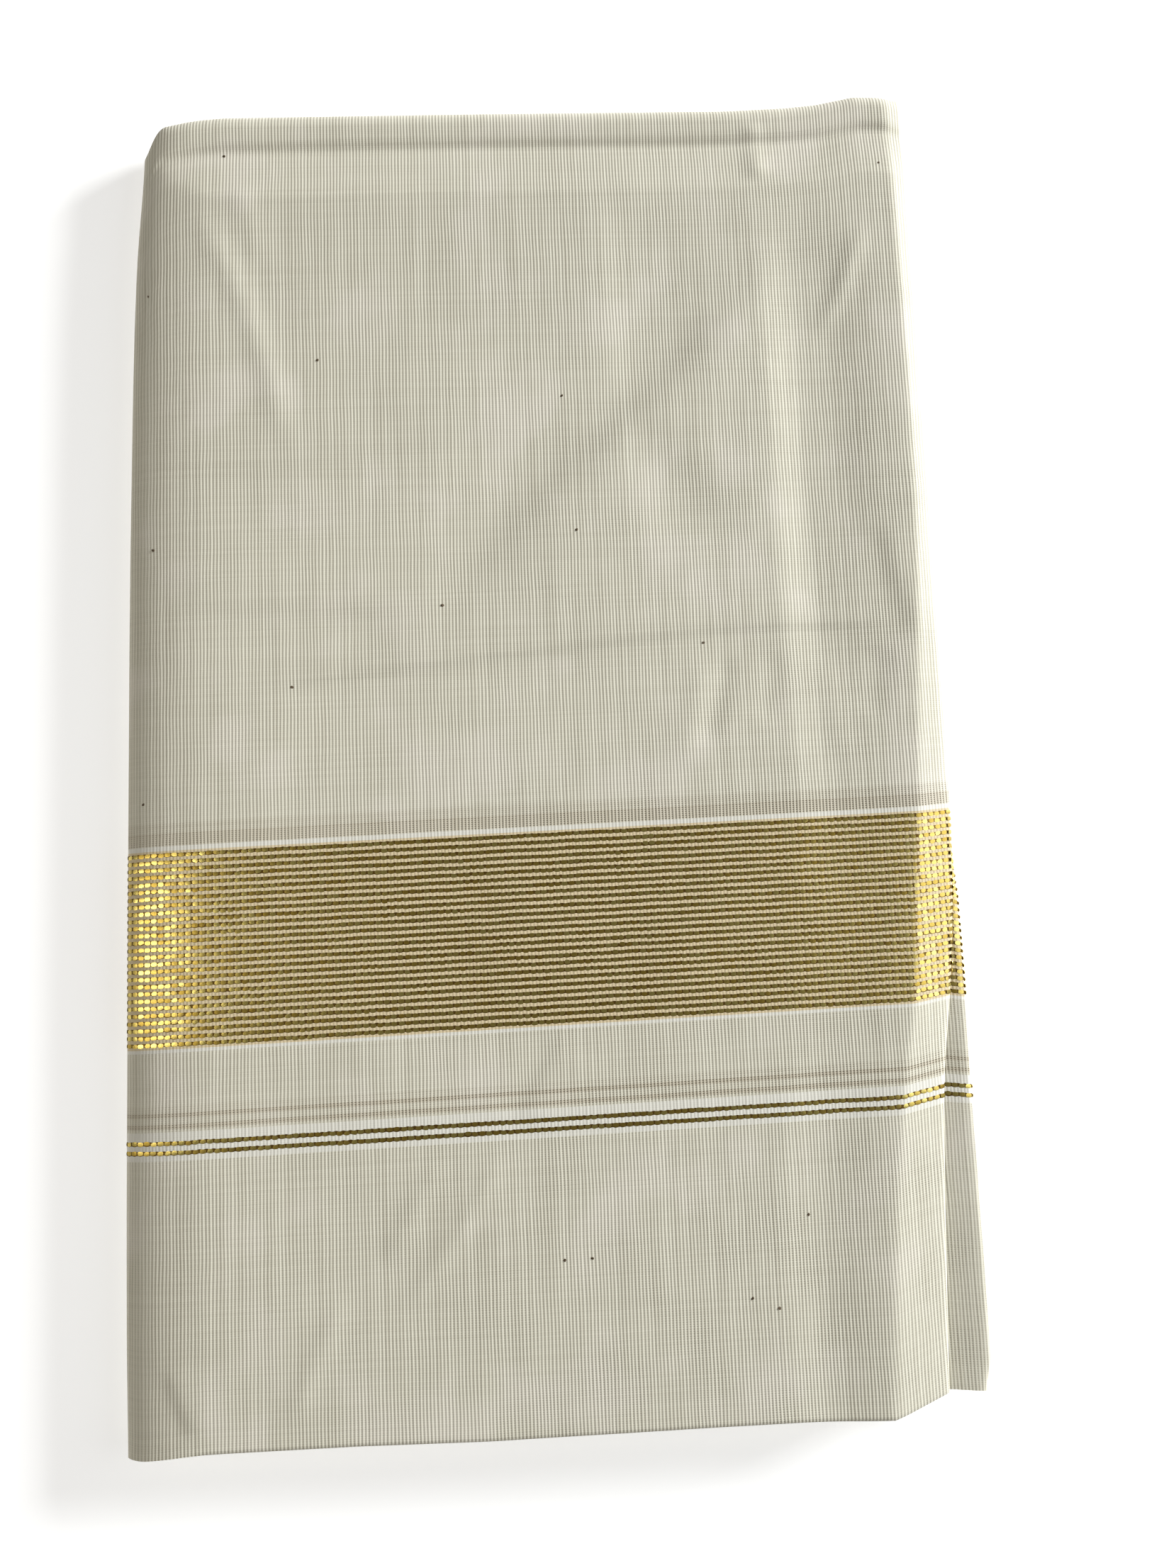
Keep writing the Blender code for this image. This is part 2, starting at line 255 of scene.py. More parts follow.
# Creases of the face.  A step's higher side is to the left of its path.
CREASES = (
    # long ridge from the top left corner, and a short one beside it
    Crease(((-107, 175), (-97, 155), (-90, 140), (-82, 115), (-75, 84)), 0.25, 4.4),
    Crease(((-93, 182), (-88, 168), (-84, 150)), 0.12, 3.8),
    # slack that runs down from the top right corner, over a fuller patch
    Crease(((86, 152), (60, 133), (45, 115), (33, 103), (20, 90), (2, 76), (-14, 56), (-28, 34)),
           1.0, 5.5, Press.STEP, 26.0, 0.3),
    Crease(((-112, 80), (-70, 86), (-20, 96), (24, 106)), 0.32, 4.0, Press.STEP, 18.0),
    Crease(((30, 100), (45, 84), (66, 60)), 0.35, 7.0, Press.STEP, 18.0),
    Crease(((110, 165), (100, 140), (91, 125)), 0.3, 3.0),
    # two soft pleats that fall away to the right
    Crease(((28, 100), (27, 140), (27, 178)), 0.34, 5.0, Press.STEP, 20.0),
    Crease(((36, 55), (34, 80), (31, 104)), 0.34, 5.0, Press.STEP, 20.0),
    # the pressed crease across the face, and the slack below it
    Crease(((-90, 15), (-50, 19), (0, 24), (50, 29), (75, 30), (114, 30)),
           0.34, 1.6, Press.STEP, 22.0, 0.12),
    Crease(((-78, 16), (-50, 19), (0, 24), (50, 29), (112, 30)), -0.07, 1.3, fade=0.15),
    Crease(((-112, 40), (-80, 40), (-40, 39)), 0.3, 3.0, Press.STEP, 16.0),
    # small dents beside the valley
    Crease(((50, 22), (46, 6), (41, -14)), 0.13, 3.4),
    Crease(((58, 24), (54, 8), (48, -8)), -0.2, 3.2),
    Crease(((72, 24), (70, 12), (66, 0)), -0.16, 4.0),
    Crease(((107, 66), (110, 48), (114, 34), (115, 22)), 0.38, 3.0, Press.STEP, 9.0),
    Crease(((106, 24), (103, 12), (100, 0)), -0.18, 4.6),
    Crease(((88, 22), (89, 4), (92, -14)), 0.14, 3.8),
    # the border and the cloth below it
    Crease(((55, -38), (34, -58), (22, -84)), 0.3, 7.0, Press.STEP, 22.0),
    Crease(((-14, -40), (-20, -60), (-24, -84)), 0.26, 7.0, Press.STEP, 22.0),
    Crease(((2, -90), (-6, -104), (-14, -117)), 0.3, 2.0, Press.STEP, 12.0),
    Crease(((-15, -122), (-30, -146), (-48, -168)), 0.2, 3.2),
    Crease(((-34, -123), (-42, -138), (-52, -154)), 0.18, 3.4),
    Crease(((-62, -160), (-72, -180), (-80, -198)), 0.17, 3.2),
    Crease(((-115, -178), (-111, -188), (-106, -199)), 0.35, 1.8, Press.STEP, 9.0),
    Crease(((98, 150), (97, 90), (98, 50)), -0.14, 6.0),
    # where the lip of the big fold is nipped
    Crease(((75, 202), (75, 192), (76, 178)), 0.5, 3.4),
)

# Side lines of the top layers at places along the cloth: x of the left fold, of the valley,
# of the rim and of the right fold, how far the slope's threads have slid, depth of the valley
SIDE_LINES = Lines(
    ("v", "left", "valley", "rim", "right", "lift", "dip"),
    (
        (-203.0, -125.4, 75.0, 93.5, 110.9, 5.4, 0.35),
        (-174.0, -126.0, 75.0, 95.7, 112.5, 4.4, 0.50),
        (-140.0, -126.2, 76.0, 99.0, 114.5, 3.0, 0.50),
        (-114.0, -126.2, 79.0, 103.1, 116.3, 2.2, 0.30),
        (-89.0, -126.2, 84.0, 108.4, 120.2, 1.6, 0.08),
        (-62.0, -126.2, 86.0, 110.6, 123.0, 1.1, 0.05),
        (-29.0, -126.2, 87.0, 113.8, 124.4, 0.7, 0.35),
        (26.0, -126.1, 87.0, 117.6, 124.6, 0.0, 1.00),
        (60.0, -125.9, 86.0, 119.8, 124.8, 0.0, 1.15),
        (104.0, -125.4, 86.0, 120.4, 125.0, 0.0, 1.15),
        (143.0, -124.9, 86.0, 120.4, 125.2, 0.0, 0.80),
        (172.0, -124.2, 86.0, 120.1, 125.4, 0.0, 0.05),
        (203.0, -121.8, 86.0, 119.5, 125.4, 0.0, 0.00),
    ),
    soften=8.0,
)

# Ends of the packet at places across it: big fold, open end, fold of the lower layers
END_LINES = Lines(
    ("x", "big_fold", "open_end", "lower_fold"),
    (
        (-126.0, 186.0, -203.4, -198.0),
        (-121.0, 189.0, -203.8, -201.0),
        (-118.5, 195.0, -203.6, -202.6),
        (-116.0, 198.6, -203.4, -202.6),
        (-108.0, 200.4, -202.6, -203.8),
        (-103.0, 201.2, -202.3, -202.2),
        (-96.0, 201.8, -202.3, -201.8),
        (-60.0, 202.3, -202.6, -202.4),
        (-22.0, 202.8, -203.5, -202.8),
        (38.0, 203.3, -203.6, -203.2),
        (66.0, 203.5, -203.8, -203.4),
        (86.0, 204.5, -204.5, -203.6),
        (97.0, 205.6, -204.8, -201.6),
        (110.0, 208.3, -204.2, -198.8),
        (117.0, 208.2, -204.0, -198.6),
        (126.0, 207.0, -204.0, -197.6),
    ),
    soften=1.2,
)

# Left fold, from its tucked edge up and over to the face: inset from the fold, drop
LEFT_FOLD = (
    (3.4, 7.9), (1.2, 7.3), (0.0, 5.6), (0.9, 4.2), (3.0, 3.0),
    (6.0, 2.0), (10.0, 1.2), (15.0, 0.6), (22.0, 0.15), (30.0, 0.0),
)

# Right fold of the top layers, from the slope round and in again: inset, drop
RIGHT_FOLD = ((0.5, 0.0), (0.12, 0.2), (0.0, 0.55), (0.3, 0.95), (1.1, 1.15), (4.0, 1.2))

# Big fold, from the face over the lip and down to the underside: inset, drop
BIG_FOLD = (
    (27.0, 0.0), (20.0, 0.78), (13.2, 1.60), (11.6, 1.85), (10.2, 1.75), (8.4, 1.2),
    (6.8, 1.02), (4.0, 0.95), (1.5, 1.1), (-0.9, 2.0), (-2.5, 3.8), (-3.0, 6.0), (-2.6, 8.6),
    (-1.4, 11.1), (0.8, 12.9), (4.0, 13.8), (9.0, 14.0),
)

# Open end of the top layers: inset, drop
OPEN_END = ((0.0, 0.34), (0.35, 0.12), (1.2, 0.02), (4.0, 0.0))

# Second fold of the top layers, which looks out at the right: offset from its brow, height
SECOND_FOLD = (
    (-3.2, 10.72), (-1.6, 10.66), (-0.7, 10.45), (-0.12, 10.1), (0.0, 9.8),
    (-0.25, 9.4), (-1.0, 9.16), (-5.0, 9.1),
)
SECOND_FOLD_HIDDEN = 9.0  # how far it runs in under the top layers
SECOND_FOLD_FALL = 0.9    # fall of its threads from the top layers' fold to its brow
SECOND_FOLD_LINE = Lines(
    ("v", "brow"),
    (
        (-198.4, 122.6), (-195.0, 124.4), (-174.0, 124.9), (-137.0, 125.0), (-114.0, 124.9),
        (-87.0, 125.2), (-60.0, 125.0), (-29.0, 123.8), (26.0, 123.6), (100.0, 123.8),
        (160.0, 123.8), (190.0, 121.5),
    ),
    soften=3.0,
)

# Fold of the lower layers, from the underside up and in again: inset from its brow, height
LOWER_FOLD = (
    (9.0, 0.0), (5.0, 0.35), (2.2, 1.4), (0.6, 3.0), (0.0, 5.4), (1.2, 7.6), (4.0, 8.5),
    (9.0, 8.7),
)

# Rolled side of the underside: inset from the packet's side, height
UNDERSIDE_ROLL = ((2.6, 1.7), (1.7, 1.0), (2.0, 0.45), (3.4, 0.1), (6.0, 0.0))

# Specks of cotton seed in the cloth: x, y
SEED_SPECKS = (
    (116.0, 180.0), (-67.0, 120.0), (9.0, 107.0), (12.0, 63.0), (-76.0, 16.0), (-121.0, -18.0),
    (50.0, 26.0), (72.0, -146.0), (0.0, -155.0), (8.0, -155.0), (62.0, -171.0), (-120.0, 151.0),
    (54.0, -168.0), (-96.0, 191.0), (-30.0, 40.0), (-118.0, 60.0),
)


# ---- meshes --------------------------------------------------------------------------
class ClothMesh:
    """Collects shells and rings of points, in millimetres, into one mesh."""

    def __init__(self) -> None:
        """Starts with no points."""
        self.points: list[Array] = []
        self.threads: list[Array] = []
        self.faces: list[tuple[int, ...]] = []
        self.flat: list[bool] = []
        self.count = 0

    def _add_points(self, points: Array, threads: Array) -> int:
        """Adds points with their places on the thread.

        Args:
            points: Their places, one row each.
            threads: Their U and V.

        Returns:
            The number of the first one.
        """
        self.points.append(points)
        self.threads.append(threads)
        first, self.count = self.count, self.count + len(points)
        return first

    def _add_faces(self, corners: Sequence[Array], flat: bool) -> None:
        """Adds four-sided faces.

        Args:
            corners: For each of the four corners, the points' numbers.
            flat: Whether the faces are shaded flat.
        """
        stacked = np.stack([corner.ravel() for corner in corners], 1)
        self.faces.extend(map(tuple, stacked.tolist()))
        self.flat.extend([flat] * len(stacked))

    def add_sheet(self, outer: Array, thread: Array) -> None:
        """Adds an open sheet.

        Args:
            outer: Rows and columns of points; columns cross rows faces outwards.
            thread: U and V of each point.
        """
        rows, columns = outer.shape[:2]
        number = np.arange(rows * columns).reshape(rows, columns)
        number += self._add_points(outer.reshape(-1, 3), thread.reshape(-1, 2))
        self._add_faces(
            (number[:-1, :-1], number[:-1, 1:], number[1:, 1:], number[1:, :-1]), False
        )

    def add_shell(self, outer: Array, thread: Array, thickness: float) -> None:
        """Adds a thin closed shell.

        Args:
            outer: Rows and columns of points of its outer side.
            thread: U and V of each point.
            thickness: How far its inner side lies below the outer one.
        """
        normal = np.cross(np.gradient(outer, axis=1), np.gradient(outer, axis=0))
        normal /= np.maximum(np.linalg.norm(normal, axis=-1, keepdims=True), 1e-9)
        inner = outer - normal * thickness
        inner[..., 2] = np.maximum(inner[..., 2], OFF_FLOOR)
        first = self.count
        self.add_sheet(outer, thread)
        rows, columns = outer.shape[:2]
        o = np.arange(rows * columns).reshape(rows, columns) + first
        n = o + self._add_points(inner.reshape(-1, 3), thread.reshape(-1, 2)) - first
        self._add_faces((n[:-1, :-1], n[1:, :-1], n[1:, 1:], n[:-1, 1:]), False)
        self._add_faces((o[0, 1:], o[0, :-1], n[0, :-1], n[0, 1:]), True)
        self._add_faces((o[-1, :-1], o[-1, 1:], n[-1, 1:], n[-1, :-1]), True)
        self._add_faces((o[:-1, 0], o[1:, 0], n[1:, 0], n[:-1, 0]), True)
        self._add_faces((o[1:, -1], o[:-1, -1], n[:-1, -1], n[1:, -1]), True)

    def add_loft(self, rings: Array) -> None:
        """Adds a closed solid through rings of points, anticlockwise from above.

        Args:
            rings: The rings from the lowest up, each with the same number of points.
        """
        layers, count = rings.shape[:2]
        number = np.arange(layers * count).reshape(layers, count)
        number += self._add_points(rings.reshape(-1, 3), rings.reshape(-1, 3)[:, :2])
        after = np.roll(number, -1, axis=1)
        self._add_faces((number[:-1], after[:-1], after[1:], number[1:]), False)
        self.faces.append(tuple(number[0, ::-1].tolist()))
        self.faces.append(tuple(number[-1].tolist()))
        self.flat += [True, True]

    def piece(self, name: str, material: Optional[bpy.types.Material]) -> bpy.types.Object:
        """Makes the object.

        Args:
            name: Its name.
            material: Its finish.

        Returns:
            The object, at the origin with its place in its mesh.
        """
        points = np.vstack(self.points) * MM
        points[:, 1] += PACKET_SHIFT
        threads = np.vstack(self.threads) * MM
        mesh = bpy.data.meshes.new(name)
        mesh.from_pydata(points.tolist(), [], self.faces)
        mesh.polygons.foreach_set("use_smooth", [not flat for flat in self.flat])
        corner = np.zeros(len(mesh.loops), np.int32)
        mesh.loops.foreach_get("vertex_index", corner)
        mesh.uv_layers.new(name=UV_NAME).data.foreach_set("uv", threads[corner].ravel())
        edge = np.zeros(len(mesh.loops), np.int32)
        mesh.loops.foreach_get("edge_index", edge)
        at_flat = np.repeat(self.flat, [len(face) for face in self.faces])
        sharp = np.zeros(len(mesh.edges), bool)
        sharp[edge[at_flat]] = True
        mesh.edges.foreach_set("use_edge_sharp", sharp)
        mesh.update()
        if material:
            mesh.materials.append(material)
        made = bpy.data.objects.new(name, mesh)
        bpy.context.scene.collection.objects.link(made)
        return made


# ---- nodes ---------------------------------------------------------------------------
class Wire:
    """A node's socket as a value: arithmetic on it adds Math nodes."""

    def __init__(self, nodes: "Nodes", socket: bpy.types.NodeSocket) -> None:
        """Keeps the socket and the tree it is in."""
        self.nodes = nodes
        self.socket = socket

    def maths(self, operation: str, *values: "Value") -> "Wire":
        """A Math node on this value and others.

        Args:
            operation: The node's operation.
            values: Its further inputs.

        Returns:
            The node's result.
        """
        return self.nodes.node("ShaderNodeMath", {"operation": operation},
                               dict(enumerate((self, *values))))

    def __add__(self, other: "Value") -> "Wire":
        """This plus other."""
        return self.maths("ADD", other)

    __radd__ = __add__

    def __sub__(self, other: "Value") -> "Wire":
        """This minus other."""
        return self.maths("SUBTRACT", other)

    def __rsub__(self, other: float) -> "Wire":
        """Other minus this."""
        return self.maths("MULTIPLY_ADD", -1.0, other)

    def __mul__(self, other: "Value") -> "Wire":
        """This times other."""
        return self.maths("MULTIPLY", other)

    __rmul__ = __mul__

    def __truediv__(self, other: "Value") -> "Wire":
        """This divided by other."""
        return self.maths("DIVIDE", other)

    def __pow__(self, other: "Value") -> "Wire":
        """This to the power of other."""
        return self.maths("POWER", other)

    def cosine(self) -> "Wire":
        """The cosine of this angle in radians."""
        return self.maths("COSINE")

    def ramp(self, low: float, high: float) -> "Wire":
        """0 at low, 1 at high and smooth between, also where low is the greater.

        Args:
            low: Where the ramp starts.
            high: Where it ends.

        Returns:
            The share.
        """
        if low > high:
            return 1.0 - self.ramp(high, low)
        return self.nodes.node("ShaderNodeMapRange", {"interpolation_type": "SMOOTHSTEP"},
                               {0: self, 1: low, 2: high})

    def within(self, low: float, high: float, soft: float) -> "Wire":
        """1 between low and high, with soft ends.

        Args:
            low: The start of the range.
            high: The end of the range.
            soft: The width of each end.

        Returns:
            The share.
        """
        return self.ramp(low - soft, low + soft) * self.ramp(high + soft, high - soft)


Value = Union[Wire, float]


class Nodes:
    """Adds nodes to a tree."""

    def __init__(self, tree: bpy.types.NodeTree) -> None:
        """Keeps the tree."""
        self.tree = tree

    def node(self, kind: str, settings: Optional[dict[str, Any]] = None,
             inputs: Optional[dict[Union[int, str], Any]] = None,
             output: Union[int, str] = 0) -> Wire:
        """Adds a node.

        Args:
            kind: The node's type.
            settings: Its properties, which are set first.
            inputs: Values or wires for its sockets, by number or name.
            output: The output to give back.

        Returns:
            That output.
        """
        made = self.tree.nodes.new(kind)
        for name, value in (settings or {}).items():
            setattr(made, name, value)
        for key, value in (inputs or {}).items():
            if isinstance(value, Wire):
                self.tree.links.new(value.socket, made.inputs[key])
            else:
                made.inputs[key].default_value = value
        return Wire(self, made.outputs[output])

    def vector(self, x: Value, y: Value, z: Value = 0.0) -> Wire:
        """A vector from three values."""
        return self.node("ShaderNodeCombineXYZ", None, {0: x, 1: y, 2: z})

    def parts(self, vector: Wire) -> tuple[Wire, Wire, Wire]:
        """A vector's three values."""
        split = self.node("ShaderNodeSeparateXYZ", None, {0: vector}).socket.node
        return tuple(Wire(self, socket) for socket in split.outputs)

    def combine(self, operation: str, first: Wire, second: Union[Wire, tuple]) -> Wire:
        """A Vector Math node on two vectors."""
        return self.node("ShaderNodeVectorMath", {"operation": operation}, {0: first, 1: second})

    def in_millimetres(self, place: Wire) -> Wire:
        """A vector in metres, scaled to millimetres."""
        return self.node("ShaderNodeVectorMath", {"operation": "SCALE"},
                         {0: place, "Scale": 1.0 / MM})


class Shader(Nodes):
    """Builds one finish on a Principled shader."""

    def __init__(self, name: str, roughness: float, metallic: float = 0.0,
                 sheen: float = 0.0) -> None:
        """Makes the material.

        Args:
            name: Its name.
            roughness: Roughness all over.
            metallic: Metallic all over.
            sheen: Sheen all over.
        """
        self.material = bpy.data.materials.new(name)
        self.material.use_nodes = True
        super().__init__(self.material.node_tree)
        self.principled = self.tree.nodes["Principled BSDF"]
        self.principled.inputs["Roughness"].default_value = roughness
        self.principled.inputs["Metallic"].default_value = metallic
        self.principled.inputs["Sheen Weight"].default_value = sheen
        self.principled.inputs["Sheen Roughness"].default_value = 0.5

    def feed(self, name: str, wire: Wire) -> None:
        """Links a wire to one of the Principled shader's inputs."""
        self.tree.links.new(wire.socket, self.principled.inputs[name])

    def thread(self) -> tuple[Wire, Wire]:
        """U and V of the piece's own map, in millimetres."""
        place = self.node("ShaderNodeUVMap", {"uv_map": UV_NAME})
        return self.parts(self.in_millimetres(place))[:2]

    def noise(self, x: Value, y: Value, z: Value = 0.0, detail: float = 0.0) -> Wire:
        """Soft noise from 0 to 1, with one unit from blob to blob.

        Args:
            x: First place.
            y: Second place.
            z: Third place; a plain number picks another pattern.
            detail: Finer octaves.

        Returns:
            The noise.
        """
        return self.node("ShaderNodeTexNoise", None, {
            "Vector": self.vector(x, y, z), "Scale": 1.0, "Detail": detail,
        })

    def mix(self, share: Value, first: Union[Wire, Colour],
            second: Union[Wire, Colour]) -> Wire:
        """Mixes two colours.

        Args:
            share: How much of the second.
            first: The first colour.
            second: The second colour.

        Returns:
            The mixed colour.
        """
        return self.node("ShaderNodeMix", {"data_type": "RGBA"},
                         {0: share, 6: first, 7: second}, 2)

    def relief(self, height: Wire) -> None:
        """Feeds a height in millimetres to the normal through a Bump node."""
        bump = self.node("ShaderNodeBump", None, {
            "Height": height * MM, "Distance": 1.0, "Strength": 1.0,
        })
        self.feed("Normal", bump)


# ---- finishes ------------------------------------------------------------------------
TURN = 2.0 * math.pi


@dataclass(frozen=True)
class CottonWeave:
    """Cream cotton: raised ribs along the cloth, finer rows across, and small open holes.

    Attributes:
        name: The material's name.
        light: Colour of the ribs.
        shade: Painted shade between the ribs and rows, also darker threads at random.
        hole_shade: Painted shade seen through the holes.
        stain: Colour of the faint blotches.
        open_row_shade: Painted shade seen through the open rows, between their holes.
        dense: Colour of the rows with thick white weft.
        rib_pitch: Rib to rib, in millimetres.
        row_pitch: Row to row, in millimetres.
    """

    name: str = "cotton weave"
    light: Colour = (0.80, 0.77, 0.645, 1.0)
    shade: Colour = (0.54, 0.505, 0.40, 1.0)
    hole_shade: Colour = (0.16, 0.13, 0.08, 1.0)
    stain: Colour = (0.82, 0.77, 0.68, 1.0)
    open_row_shade: Colour = (0.42, 0.33, 0.22, 1.0)
    dense: Colour = (0.82, 0.80, 0.73, 1.0)
    rib_pitch: float = 1.03
    row_pitch: float = 0.62

    def open_rows(self, v: Wire) -> Wire:
        """Where rows of the weave are left open: 1 there and 0 elsewhere."""
        return sum(v.within(low, high, soft) * share for low, high, soft, share in OPEN_ROWS)

    def dense_rows(self, v: Wire) -> Wire:
        """Where thick white weft closes the weave: 1 there and 0 elsewhere."""
        return sum(v.within(low, high, soft) for low, high, soft in DENSE_ROWS)

    def cloth(self, shader: Shader, u: Wire, v: Wire) -> tuple[Wire, Wire]:
        """The plain weave.

        Args:
            shader: The finish being built.
            u: Place across the cloth, in millimetres.
            v: Place along it.

        Returns:
            Its colour with painted shade, and its height in millimetres.
        """
        sway_u = (shader.noise(u / 7.0, v / 16.0, 3.1) - 0.5) * 0.5
        sway_v = (shader.noise(u / 16.0, v / 7.0, 8.4) - 0.5) * 0.4
        ribs = ((u + sway_u) * (TURN / self.rib_pitch)).cosine()
        rows = ((v + sway_v) * (TURN / self.row_pitch)).cosine()
        pairs = ((u + sway_u) * (0.5 * TURN / self.rib_pitch)).cosine() * 0.5 + 0.5
        rib_gap = 0.5 - ribs * 0.5
        row_gap = 0.5 - rows * 0.5
        patches = shader.noise(u / 16.0, v / 20.0, 1.7, detail=1.0).ramp(0.42, 0.70)
        lean = (u * 0.004 + v * -0.0012 + 0.35).ramp(0.0, 1.0)
        opened = self.open_rows(v)
        closed = self.dense_rows(v)
        airy = (patches * 0.55 + 0.25) * (lean * 0.8 + 0.35) * (1.0 - closed)
        airy = airy * 0.7 + opened * (lean * 1.1 + 0.7) * (pairs * 0.5 + 0.7)
        holes = ((rib_gap * row_gap) ** 2.0 * airy).maths("MINIMUM", 1.0)
        rib_tone = shader.noise(u / 1.1, v / 60.0, 5.2) - 0.5
        row_tone = shader.noise(u / 45.0, v / 0.7, 2.6) - 0.5
        blotch = shader.noise(u / 26.0, v / 30.0, 6.0, detail=2.0).ramp(0.50, 0.70)
        # Painted shade: darker between the ribs and, a little, between the rows, over the
        # threads' random tone.
        tone = (rib_gap * (0.75 - closed * 0.5) + rib_tone * 0.6 + row_tone * 0.25
                + row_gap * 0.04)
        colour = shader.mix(tone.maths("MAXIMUM", 0.0), self.light, self.shade)
        colour = shader.mix(blotch * 0.45, colour, self.stain)
        # Painted shade seen through the open rows.
        colour = shader.mix(opened * 0.30, colour, self.open_row_shade)
        colour = shader.mix(closed * 0.75, colour, self.dense)
        # Painted shade in the holes, with more and darker holes towards the right and the open
        # end.
        colour = shader.mix(holes * 0.85, colour, self.hole_shade)
        height = (ribs * 0.030 + rows * 0.005 - holes * 0.05
                  + rib_tone * 0.03 + row_tone * 0.02)
        return colour, height

    def material(self) -> bpy.types.Material:
        """Builds the finish."""
        shader = Shader(self.name, roughness=0.88, sheen=0.15)
        colour, height = self.cloth(shader, *shader.thread())
        shader.feed("Base Color", colour)
        shader.relief(height)
        return shader.material


@dataclass(frozen=True)
class BorderWeave(CottonWeave):
    """The same cotton with gold stripes woven in across it.

    Attributes:
        gold: Colour of the gold thread under the floats, darkened with painted shade for the gaps
            between them.
        between: Colour of the cotton between two gold stripes.
    """

    name: str = "border weave"
    gold: Colour = (0.15, 0.085, 0.014, 1.0)
    between: Colour = (0.72, 0.585, 0.36, 1.0)

    def material(self) -> bpy.types.Material:
        """Builds the finish."""
        shader = Shader(self.name, roughness=0.8)
        u, v = shader.thread()
        colour, height = self.cloth(shader, u, v)
        sway = (u * (TURN / FLOAT_PITCH)).cosine() * 0.09
        sway = sway + (shader.noise(u / 6.0, v / 6.0, 4.4) - 0.5) * 0.3
        place = v + sway
        wave = ((place - V_FIRST_STRIPE) * (TURN / STRIPE_PITCH)).cosine()
        last = V_FIRST_STRIPE - STRIPE_PITCH * (STRIPE_COUNT - 1)
        band = v.within(last - 0.6 * STRIPE_PITCH, V_FIRST_STRIPE + 0.6 * STRIPE_PITCH, 0.05)
        gold = wave.ramp(-0.18, 0.12) * band
        for middle in V_GUARD_STRIPES:
            gold = gold + place.within(middle - 0.58, middle + 0.58, 0.08)
        colour = shader.mix(band * 0.9, colour, self.between)
        grain = shader.noise(u / 0.35, v / 0.25, 9.0) * 0.5 + 0.75
        # The gold thread's own colour, darkened as painted shade in the gaps between the floats.
        shader.feed("Base Color", shader.mix(gold, colour, self.gold))
        shader.feed("Metallic", gold * 0.85)
        shader.feed("Roughness", 0.85 - gold * (grain * 0.4))
        threads = (u * (TURN / FLOAT_PITCH)).cosine() * 0.008
        shader.relief(height * (1.0 - gold) * 0.6 + threads)
        return shader.material


@dataclass(frozen=True)
class ZariThread:
    """Flat gold thread wound on cotton: metallic, brushed across, each float a little apart.

    Attributes:
        bright: Colour of the cleanest floats.
        worn: Colour of the dullest ones.
    """

    bright: Colour = (0.83, 0.70, 0.23, 1.0)
    worn: Colour = (0.40, 0.25, 0.03, 1.0)

    def material(self) -> bpy.types.Material:
        """Builds the finish."""
        shader = Shader("zari thread", roughness=0.32, metallic=1.0)
        u, v = shader.thread()
        tone = shader.node("ShaderNodeAttribute", {"attribute_name": "tone"}, None, 2)
        flecks = shader.noise(u / 0.5, v / 0.22, 2.0)
        shader.feed("Base Color", shader.mix(tone * 0.7 + flecks * 0.3, self.bright, self.worn))
        shader.feed("Roughness", flecks * 0.12 + 0.20 + tone * 0.08)
        shader.relief(shader.noise(u / 0.9, v / 0.5, 7.0) * 0.012)
        return shader.material


@dataclass(frozen=True)
class LayerCotton:
    """Cotton seen at the packet's sides, where the layers' rolled edges lie one on another.

    Attributes:
        light: Colour of a rolled edge.
        shade: Painted shade between threads and between layers, also darker threads at random.
        row_pitch: Thread to thread, in millimetres.
        layer_pitch: Layer to layer.
    """

    light: Colour = (0.76, 0.735, 0.635, 1.0)
    shade: Colour = (0.58, 0.55, 0.45, 1.0)
    row_pitch: float = 1.03
    layer_pitch: float = 0.58

    def material(self) -> bpy.types.Material:
        """Builds the finish."""
        shader = Shader("layered cotton", roughness=0.9, sheen=0.15)
        place = shader.node("ShaderNodeTexCoord", None, None, "Object")
        x, y, z = shader.parts(shader.in_millimetres(place))
        rows = ((x + y) * (TURN / self.row_pitch)).cosine()
        layers = (z * (TURN / self.layer_pitch)).cosine()
        tone = shader.noise((x + y) / 1.4, z / 0.5, 0.5) * 0.6 + shader.noise(x / 20, y / 20, z)
        # Painted shade: darker lines between threads and between the stacked layers, over the
        # cloth's random tone.
        shader.feed("Base Color", shader.mix(tone * 0.6 + rows * 0.06 + layers * 0.1,
                                             self.light, self.shade))
        shader.relief(rows * 0.03 + layers * 0.04 + tone * 0.08)
        return shader.material


@dataclass(frozen=True)
class SeedHusk:
    """Specks of cotton seed, dark brown.

    Attributes:
        colour: Colour of a speck.
        edge: Its paler parts.
    """

    colour: Colour = (0.05, 0.035, 0.02, 1.0)
    edge: Colour = (0.16, 0.11, 0.06, 1.0)

    def material(self) -> bpy.types.Material:
        """Builds the finish."""
        shader = Shader("seed husk", roughness=0.7)
        u, v = shader.thread()
        tone = shader.noise(u / 0.3, v / 0.3)
        shader.feed("Base Color", shader.mix(tone, self.colour, self.edge))
        return shader.material


@dataclass(frozen=True)
class PaleFloor:
    """A plain pale floor.

    Attributes:
        colour: Its colour.
        glow: How bright it shines by itself.
    """

    colour: Colour = (0.92, 0.92, 0.92, 1.0)
    glow: float = 0.5

    def material(self) -> bpy.types.Material:
        """Builds the finish."""
        shader = Shader("pale floor", roughness=0.9)
        shader.principled.inputs["Base Color"].default_value = self.colour
        shader.principled.inputs["Emission Color"].default_value = (1.0, 1.0, 1.0, 1.0)
        shader.principled.inputs["Emission Strength"].default_value = self.glow
        return shader.material


# ---- pieces --------------------------------------------------------------------------
def keep(piece: bpy.types.Object, node: str) -> None:
    """Lets a piece stand for its solid and ride with the packet.

    Args:
        piece: The finished piece.
        node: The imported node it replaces.
    """
    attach(piece, "root")
    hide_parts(node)
    log.info("%s stands for %s, %d faces", piece.name, node, len(piece.data.polygons))


